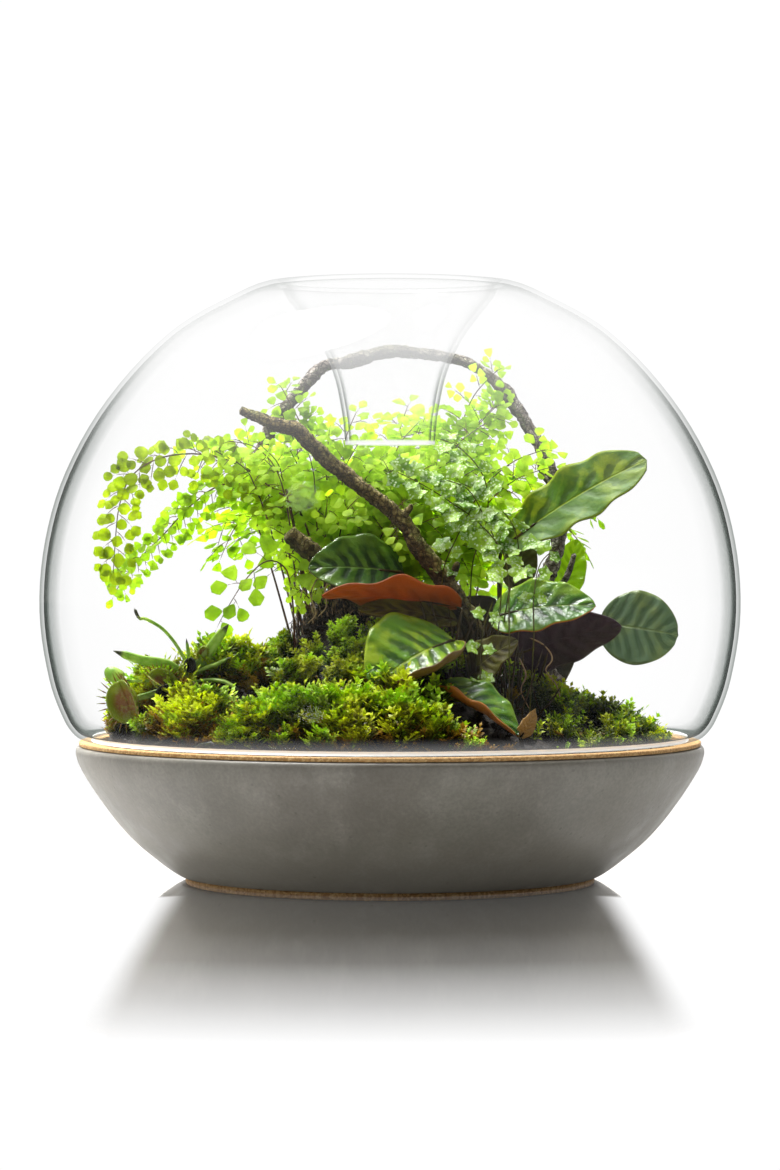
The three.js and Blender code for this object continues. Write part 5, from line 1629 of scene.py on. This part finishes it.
# %% Traps and flat stalks
def trap_lobe(bm, origin, hinge, face, radius, look):
    outward = face.cross(hinge).normalized()
    normal = hinge.cross(outward)

    def place(u, v):
        angle = math.pi * v
        x, y = -u * math.cos(angle), 0.95 * u * math.sin(angle) ** 0.8
        cup = 0.34 * math.sin(math.pi * min(1.0, u)) * math.sin(angle) ** 0.5
        return (origin + (hinge * x + outward * y - normal * cup) * radius) * MM

    made = bmesh.new()
    verts = bent_grid(made, across=16, along=7, place=place)
    bmesh.ops.remove_doubles(made, verts=verts, dist=1e-5)
    bmesh.ops.solidify(made, geom=made.faces, thickness=0.8 * MM)
    for index in range(TEETH):
        turn = math.pi * (index + 0.5) / TEETH
        away = (hinge * -math.cos(turn) + outward * math.sin(turn) + normal * 0.35).normalized()
        root = place(0.97, turn / math.pi) / MM
        spike = Route([tuple(root), tuple(root + away * 0.3 * radius), tuple(root + away * 0.55 * radius)], 1)
        tube(made, spike, lambda u, v: 0.045 * radius * MM * (1.2 - u), around=4, along=4)
    bmesh.ops.recalc_face_normals(made, faces=made.faces)
    join(bm, made, look)


def flat_stalk(bm, route, width):
    """A tube pressed flat, broadest past its middle, as the flytrap's leaf stalks are."""
    line = Route([from_crown(point) for point in route])

    def radius(u, v):
        swell = 0.35 + 0.65 * math.sin(math.pi * min(1.0, 0.15 + 0.75 * u)) ** 0.8
        end = min(1.0, (1.02 - u) * 6)
        angle = 2 * math.pi * v
        return width / 2 * MM * swell * end * (0.22 + 0.78 * abs(math.cos(angle + 0.6)) ** 1.6)

    made = bmesh.new()
    tube(made, line, radius, around=12, along=26)
    join(bm, made, STALK)


def round_leaf(bm, middle, width):
    """A small round leaf that stands nearly upright and faces forward."""
    def place(angle):
        reach = 0.5 * width * MM * (1 + 0.08 * math.cos(3 * angle) - 0.06 * math.sin(2 * angle))
        return Vector((*around_axis(reach, angle), 0))

    made = disc_leaf(place, segments=20, thickness=0.7 * MM)
    turned = Matrix.Rotation(math.radians(78), 4, "X") @ Matrix.Scale(0.75, 4, (0, 1, 0))
    moved = Matrix.Translation(Vector(from_crown(middle)) * MM) @ turned
    bmesh.ops.transform(made, matrix=moved, verts=made.verts)
    made.loops.layers.uv.new("UVMap")
    join(bm, made, STALK)


def flytrap():
    bm = bmesh.new()
    bm.loops.layers.uv.new("UVMap")
    for stalk in FLAT_STALKS:
        flat_stalk(bm, **stalk)
    round_leaf(bm, **ROUND_LEAF)
    for trap in TRAPS:
        axis, middle = Vector(trap["hinge"]).normalized(), Vector(trap["opening"]).normalized()
        for side in (1, -1):
            face = Matrix.Rotation(side * trap["gape"], 3, axis) @ middle
            trap_lobe(bm, Vector(from_crown(trap["at"])), axis * side, face, trap["radius"], trap["look"])
    stems = bmesh.new()
    flower_stem = Route([from_crown(point) for point in FLOWER_STEM])
    tube(stems, flower_stem, lambda u, v: 0.95 * MM, around=7, along=30)
    crown_foot = Route([*rooted([(CROWN_X, CROWN_Y)]), from_crown((0, 0, 3))])
    tube(stems, crown_foot, lambda u, v: 3 * MM * (1 - 0.2 * u), around=8, along=10)
    join(bm, stems, STALK)
    print("flytrap has", len(TRAPS), "traps and", len(FLAT_STALKS), "flat stalks")
    return bm


finish_piece("flytrap_plant", flytrap(), trap_skins, "flytrap", ["venus_flytrap"])

# %% [markdown]
# ## Roots
#
# A fringe of fine brown roots hangs round the fern's root ball. They are short tubes that start on the
# ball and fall outwards and down. A few longer, paler ones hang from the stub and from the leaves' stems.

# %% Fine roots round the root ball
FINE_ROOTS = 420


def root_finish(dark_until, pale_from):
    material, tree = new_material("roots")
    tone = clouds(tree, object_place(tree), 240, 2)
    colour = ramp(tree, tone, [(dark_until, (0.010, 0.007, 0.005)), (pale_from, (0.42, 0.28, 0.14))])
    show(tree, surface(tree, {"Base Color": colour, "Roughness": 0.7}))
    return material


def root_fringe():
    chance = random.Random(77)
    bm = bmesh.new()
    for _ in range(FINE_ROOTS):
        x, y = chance.uniform(-55, -8), chance.uniform(-13, 16)
        height = ground_height(x, y)
        swing = chance.uniform(0, 2 * math.pi)
        out = Vector((math.cos(swing), 0.6 * math.sin(swing))) * chance.uniform(2, 11)
        top = chance.uniform(7, 26) * (1.0 if x < -20 else 0.7)
        points = [(x, y, height - 2), (x + out.x * 0.3, y + out.y * 0.3, height + top * 0.7),
                  (x + out.x * 0.8, y + out.y * 0.8, height + top * 0.75),
                  (x + out.x, y + out.y, height + top * 0.2)]
        tube(bm, Route(points, 3), lambda u, v: 0.34 * MM * (1.2 - u), around=3, along=7)
    return bm


HANGING_ROOTS = [
    [(78, -50, 139), (86, -51, 135), (91, -52, 127), (87, -52, 121), (93, -50, 113), (97, -48, 98)],
    [(72, -54, 128), (76, -55, 118), (73, -56, 110), (78, -56, 99)],
    [(-34, -22, 178), (-41, -23, 172), (-45, -22, 162), (-42, -21, 152), (-47, -20, 146)],
    [(-30, -22, 176), (-37, -24, 166), (-36, -23, 156), (-41, -22, 150)],
    [(-38, -18, 182), (-47, -19, 172), (-51, -18, 160), (-54, -18, 148)],
]


def hanging_roots():
    bm = bmesh.new()
    for route in HANGING_ROOTS:
        tube(bm, Route(route, 3), lambda u, v: 0.42 * MM * (1.2 - 0.5 * u), around=5, along=24)
    return bm


finish_piece("fine_roots", root_fringe(), [root_finish(0.50, 0.64)], "fern", smooth=False)
finish_piece("hanging_roots", hanging_roots(), [root_finish(0.30, 0.42)], "fern")

# %% [markdown]
# ## The room
#
# The photograph was taken against bright white. Light comes from behind and above, so the leaves glow and
# the front stays in shade. The world gives both: what the camera sees of it is plain white, and what lights
# the plants is strong behind, weaker on the right and weak in front. A mirror that looks along the ground
# sees at least plain white. The floor is polished behind the foot and in a strip in front of it, in which
# the bowl mirrors, and further out it is as white as the wall behind.

# %% Floor
STRIP_EDGE = (0.109, 0.128)  # the strip in front is as wide as the foot, and ends softly between these
FRONT_OF_FOOT = (-0.125, -0.105)
POLISH = [(0.30, 0.965), (0.43, 0.88), (0.585, 0.47), (0.71, 0.0)]  # metres away, share of mirror
WHITE_POWER = 1.02  # a little more than 1, so that white stays white in the picture


def floor_finish():
    material, tree = new_material("pale_floor")
    place = object_place(tree)
    spot = split(tree, place)
    away = add(tree, "ShaderNodeVectorMath", {0: place}, operation="LENGTH").outputs["Value"]
    strip = spread(tree, calc(tree, "ABSOLUTE", spot["X"]), *STRIP_EDGE, 1.0, 0.0)
    behind = spread(tree, spot["Y"], *FRONT_OF_FOOT, 0.0, 1.0)
    polished = ramp(tree, away, [(distance, (share,) * 3) for distance, share in POLISH])
    share = calc(tree, "MULTIPLY", polished, calc(tree, "MAXIMUM", strip, behind))
    mirror = add(tree, "ShaderNodeBsdfGlossy", {"Color": (0.97, 0.96, 0.95, 1), "Roughness": 0.05})
    matte = add(tree, "ShaderNodeEmission", {"Color": WHITE, "Strength": WHITE_POWER})
    show(tree, mix_shaders(tree, share, matte, mirror))
    return material


def studio_floor():
    bm = bmesh.new()
    bmesh.ops.create_grid(bm, x_segments=1, y_segments=1, size=6.0)
    bmesh.ops.translate(bm, verts=bm.verts, vec=(0, 2.0, 0))
    mesh = bpy.data.meshes.new("floor")
    bm.to_mesh(mesh)
    bm.free()
    mesh.materials.append(floor_finish())
    floor = bpy.data.objects.new("floor", mesh)
    bpy.context.scene.collection.objects.link(floor)


studio_floor()

# %% World and lamps
FRONT_LIGHT, BACK_LIGHT = 0.35, 1.6
LEFT_GAIN, RIGHT_GAIN = 0.10, -0.55  # added to them on each side


def white_room():
    world = bpy.data.worlds.new("white_room")
    world.use_nodes = True
    tree = world.node_tree
    tree.nodes.clear()
    way = split(tree, add(tree, "ShaderNodeTexCoord").outputs["Generated"])
    depth = spread(tree, way["Y"], -0.5, 0.6, FRONT_LIGHT, BACK_LIGHT)
    sideways = spread(tree, way["X"], -0.8, 0.8, LEFT_GAIN, RIGHT_GAIN)
    path = add(tree, "ShaderNodeLightPath")
    low = spread(tree, calc(tree, "ABSOLUTE", way["Z"]), 0.10, 0.20, 1.0, 0.0)
    along_ground = calc(tree, "MULTIPLY", path.outputs["Is Glossy Ray"], low)
    power = calc(tree, "MAXIMUM", calc(tree, "ADD", depth, sideways), along_ground)
    lighting = add(tree, "ShaderNodeBackground", {"Color": (1.0, 0.99, 0.97, 1), "Strength": power})
    seen = add(tree, "ShaderNodeBackground", {"Color": WHITE, "Strength": WHITE_POWER})
    both = mix_shaders(tree, path.outputs["Is Camera Ray"], lighting, seen)
    add(tree, "ShaderNodeOutputWorld", {"Surface": both.outputs[0]})
    return world


def lamp(name, place, target, size, power, mirrored=True):
    light = bpy.data.lights.new(name, "AREA")
    light.shape = "DISK"
    light.size = size
    light.energy = power
    holder = bpy.data.objects.new(name, light)
    holder.location = place
    holder.rotation_euler = (Vector(target) - Vector(place)).to_track_quat("-Z", "Y").to_euler()
    holder.visible_glossy = mirrored
    bpy.context.scene.collection.objects.link(holder)


scene = bpy.context.scene
scene.world = white_room()
scene.view_settings.view_transform = "Standard"
scene.cycles.transparent_max_bounces = 24
lamp("lamp_above", (-0.35, 0.3, 1.5), (0, 0, 0.2), 0.7, 75)
lamp("lamp_behind_left", (-1.0, 1.7, 0.9), (0, 0, 0.2), 1.3, 110, mirrored=False)
lamp("lamp_behind_right", (0.35, 1.9, 1.0), (0, 0, 0.2), 1.3, 84, mirrored=False)
lamp("lamp_front", (-0.9, -1.5, 1.3), (0, 0, 0.12), 0.4, 3)

# %% [markdown]
# ## The camera
#
# The camera stands level, a little over two metres in front, at about half the height of the dome. A long
# lens keeps the outlines close to their true shape, and a small shift frames the object as the photograph
# does.

# %% Camera
CAMERA_DISTANCE = 2.177
CAMERA_HEIGHT = 0.197
FOCAL_PIXELS = 3800
PHOTO_HEIGHT = 1170
SHIFT_PIXELS = 51
SENSOR = 36.0
camera_data = bpy.data.cameras.new("photo_camera")
camera_data.sensor_fit = "VERTICAL"
camera_data.sensor_height = SENSOR
camera_data.lens = SENSOR * FOCAL_PIXELS / PHOTO_HEIGHT
camera_data.shift_y = -SHIFT_PIXELS / PHOTO_HEIGHT
camera = bpy.data.objects.new("photo_camera", camera_data)
camera.location = (0, -CAMERA_DISTANCE, CAMERA_HEIGHT)
camera.rotation_euler = (math.radians(90), 0, 0)
scene.collection.objects.link(camera)
scene.camera = camera
